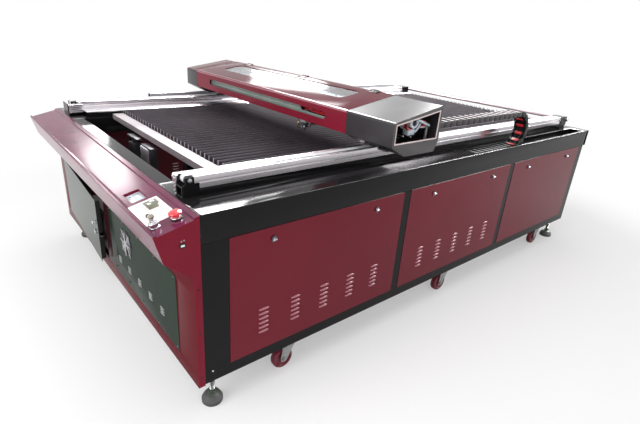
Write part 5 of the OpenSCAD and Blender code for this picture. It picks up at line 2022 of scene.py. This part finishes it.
@dataclass(frozen=True)
class Window:
    """A bright opening in a far wall beyond the machine's left side, in the row frame's metres."""

    name: str
    along: tuple[float, float]
    height: tuple[float, float]
    brightness: float
    wall: float = -8.0

    def hang(self) -> None:
        """Make the light for this window, facing the machine's side."""
        spot = Vector((self.wall, sum(self.along) / 2, sum(self.height) / 2))
        add_lamp(self.name, spot, spot + Vector((1, 0, 0)), self.along[1] - self.along[0],
                 self.height[1] - self.height[0], self.brightness, True)


def add_lamp(name: str, spot: Vector, target: Vector, width: float, height: float,
             brightness: float, mirrored: bool = False) -> None:
    """Hang a rectangular lamp of an even brightness.

    Args:
        name: Its name.
        spot: Where it hangs.
        target: What it faces.
        width: Across, in metres.
        height: Up, in metres.
        brightness: Its radiance, where 1 renders as white.
        mirrored: Whether it shows only in glossy surfaces and lights nothing.
    """
    lamp = bpy.data.lights.new(name, "AREA")
    lamp.shape = "RECTANGLE"
    lamp.size, lamp.size_y = width, height
    lamp.energy = brightness * 4 * width * height
    holder = bpy.data.objects.new(name, lamp)
    holder.location = spot
    holder.rotation_euler = (target - spot).to_track_quat("-Z", "Y").to_euler()
    holder.visible_camera = False
    holder.visible_diffuse = not mirrored
    bpy.context.scene.collection.objects.link(holder)


def seen_rays(wiring: Wiring) -> bpy.types.NodeSocket:
    """Tell the rays that show a surface from those that only light.

    Args:
        wiring: The node tree that asks.

    Returns:
        1 for a ray from the camera, a mirror or glass, and 0 for any other.
    """
    paths = wiring.node("ShaderNodeLightPath").outputs
    return wiring.math("MAXIMUM", paths["Is Camera Ray"],
                       wiring.math("MAXIMUM", paths["Is Glossy Ray"],
                                   paths["Is Transmission Ray"]))


@dataclass
class Surroundings:
    """The floor, the light and the camera."""

    eye: Point = (2.170, -2.017, 1.431)
    heading: float = 48.64
    pitch: float = 22.75
    roll: float = 4.29
    lens: float = 25.34
    floor_size: float = 40.0
    floor_glow: float = 0.35
    floor_fade: Pair = (1.9, 3.2)
    ambient: float = 0.60
    windows: tuple[Window, ...] = (
        Window("console_window", (-1.15, -0.52), (3.65, 4.85), 11.0),
        Window("beam_window", (0.0, 0.7), (2.42, 2.95), 12.0),
        Window("lid_window", (3.6, 6.0), (3.72, 4.8), 7.0),
        Window("ledge_window", (5.55, 6.8), (6.75, 7.1), 16.0),
        Window("rear_window", (13.0, 30.0), (7.4, 10.5), 40.0),
    )

    def build(self) -> None:
        """Set up everything round the machine."""
        self._camera()
        self._floor()
        self._sky()
        middle = Vector((0, 0, 0.85))
        for window in self.windows:
            window.hang()
        add_lamp("overhead_softbox", Vector((0.3, -0.4, 4.6)), middle, 4.0, 5.0, 1.1)
        add_lamp("side_softbox", Vector((5.6, -2.6, 2.4)), middle, 3.4, 2.6, 1.1)
        add_lamp("front_softbox", Vector((0.5, -5.0, 2.5)), Vector((0, -1.6, 0.5)), 4.0, 3.0, 2.8)
        add_lamp("rear_skylight", Vector((2.6, 4.6, 3.9)), Vector((0.95, 0.3, 0.84)), 3.0, 2.5,
                 30.0, True)
        add_lamp("front_skylight", Vector((-4.2, 1.3, 5.6)), Vector((0.2, -0.6, 1.07)), 2.6, 2.4,
                 50.0, True)
        bpy.context.scene.view_settings.view_transform = "Standard"

    def _camera(self) -> None:
        """Stand the camera."""
        data = bpy.data.cameras.new("camera")
        data.lens = self.lens
        data.sensor_width = 36.0
        data.clip_end = 200.0
        camera = bpy.data.objects.new("camera", data)
        camera.matrix_world = (
            Matrix.Translation(self.eye) @ Matrix.Rotation(math.radians(self.heading), 4, "Z")
            @ Matrix.Rotation(math.radians(90 - self.pitch), 4, "X")
            @ Matrix.Rotation(math.radians(self.roll), 4, "Z"))
        bpy.context.scene.collection.objects.link(camera)
        bpy.context.scene.camera = camera

    def _floor(self) -> None:
        """Lay the pale floor, which fades to white away from the machine."""
        mesh = bmesh.new()
        bmesh.ops.create_grid(mesh, x_segments=1, y_segments=1, size=self.floor_size)
        data = bpy.data.meshes.new("floor")
        mesh.to_mesh(data)
        mesh.free()
        floor = bpy.data.objects.new("floor", data)
        bpy.context.scene.collection.objects.link(floor)
        made = bpy.data.materials.new("pale_floor")
        made.use_nodes = True
        wiring = Wiring(made.node_tree)
        shader = made.node_tree.nodes["Principled BSDF"]
        shader.inputs["Base Color"].default_value = (0.92, 0.92, 0.92, 1)
        shader.inputs["Roughness"].default_value = 0.9
        shader.inputs["Specular IOR Level"].default_value = 0.0
        glow = wiring.node("ShaderNodeEmission", {"Color": (1, 1, 1, 1), "Strength": 1.0})
        far = wiring.node("ShaderNodeVectorMath", {0: wiring.where()}, operation="LENGTH")
        fade = wiring.node("ShaderNodeMapRange", {
            "Value": far.outputs["Value"], "From Min": self.floor_fade[0],
            "From Max": self.floor_fade[1]}, interpolation_type="SMOOTHSTEP").outputs["Result"]
        camera_ray = wiring.node("ShaderNodeLightPath").outputs["Is Camera Ray"]
        mix = wiring.node("ShaderNodeMixShader", {
            0: wiring.math("MAXIMUM", wiring.math("MULTIPLY", fade, seen_rays(wiring)),
                           wiring.math("MULTIPLY", self.floor_glow, camera_ray)),
            1: shader.outputs[0], 2: glow.outputs[0]})
        wiring.link(mix.outputs[0], made.node_tree.nodes["Material Output"].inputs["Surface"])
        data.materials.append(made)

    def _sky(self) -> None:
        """Make the world white where it is seen and softer where it lights."""
        world = bpy.data.worlds.new("studio")
        bpy.context.scene.world = world
        world.use_nodes = True
        wiring = Wiring(world.node_tree)
        world.node_tree.nodes.clear()
        soft, white = (wiring.node("ShaderNodeBackground", {
            "Color": (1, 1, 1, 1), "Strength": strength}).outputs[0]
            for strength in (self.ambient, 1.0))
        mix = wiring.node("ShaderNodeMixShader", {0: seen_rays(wiring), 1: soft, 2: white})
        wiring.link(mix.outputs[0], wiring.node("ShaderNodeOutputWorld").inputs["Surface"])


def main() -> None:
    """Build the machine's looks in order."""
    logging.basicConfig(level=logging.INFO, format="%(name)s: %(message)s")
    build_effects()
    Surroundings().build()
    for assembly in (Cabinet(), SideDoors(), FrontPanels(), Console(), Table(), Rails(), Gantry(),
                     DragChain(), WheelsAndFeet(), Interior()):
        assembly.build()


if __name__ == "__main__":
    main()
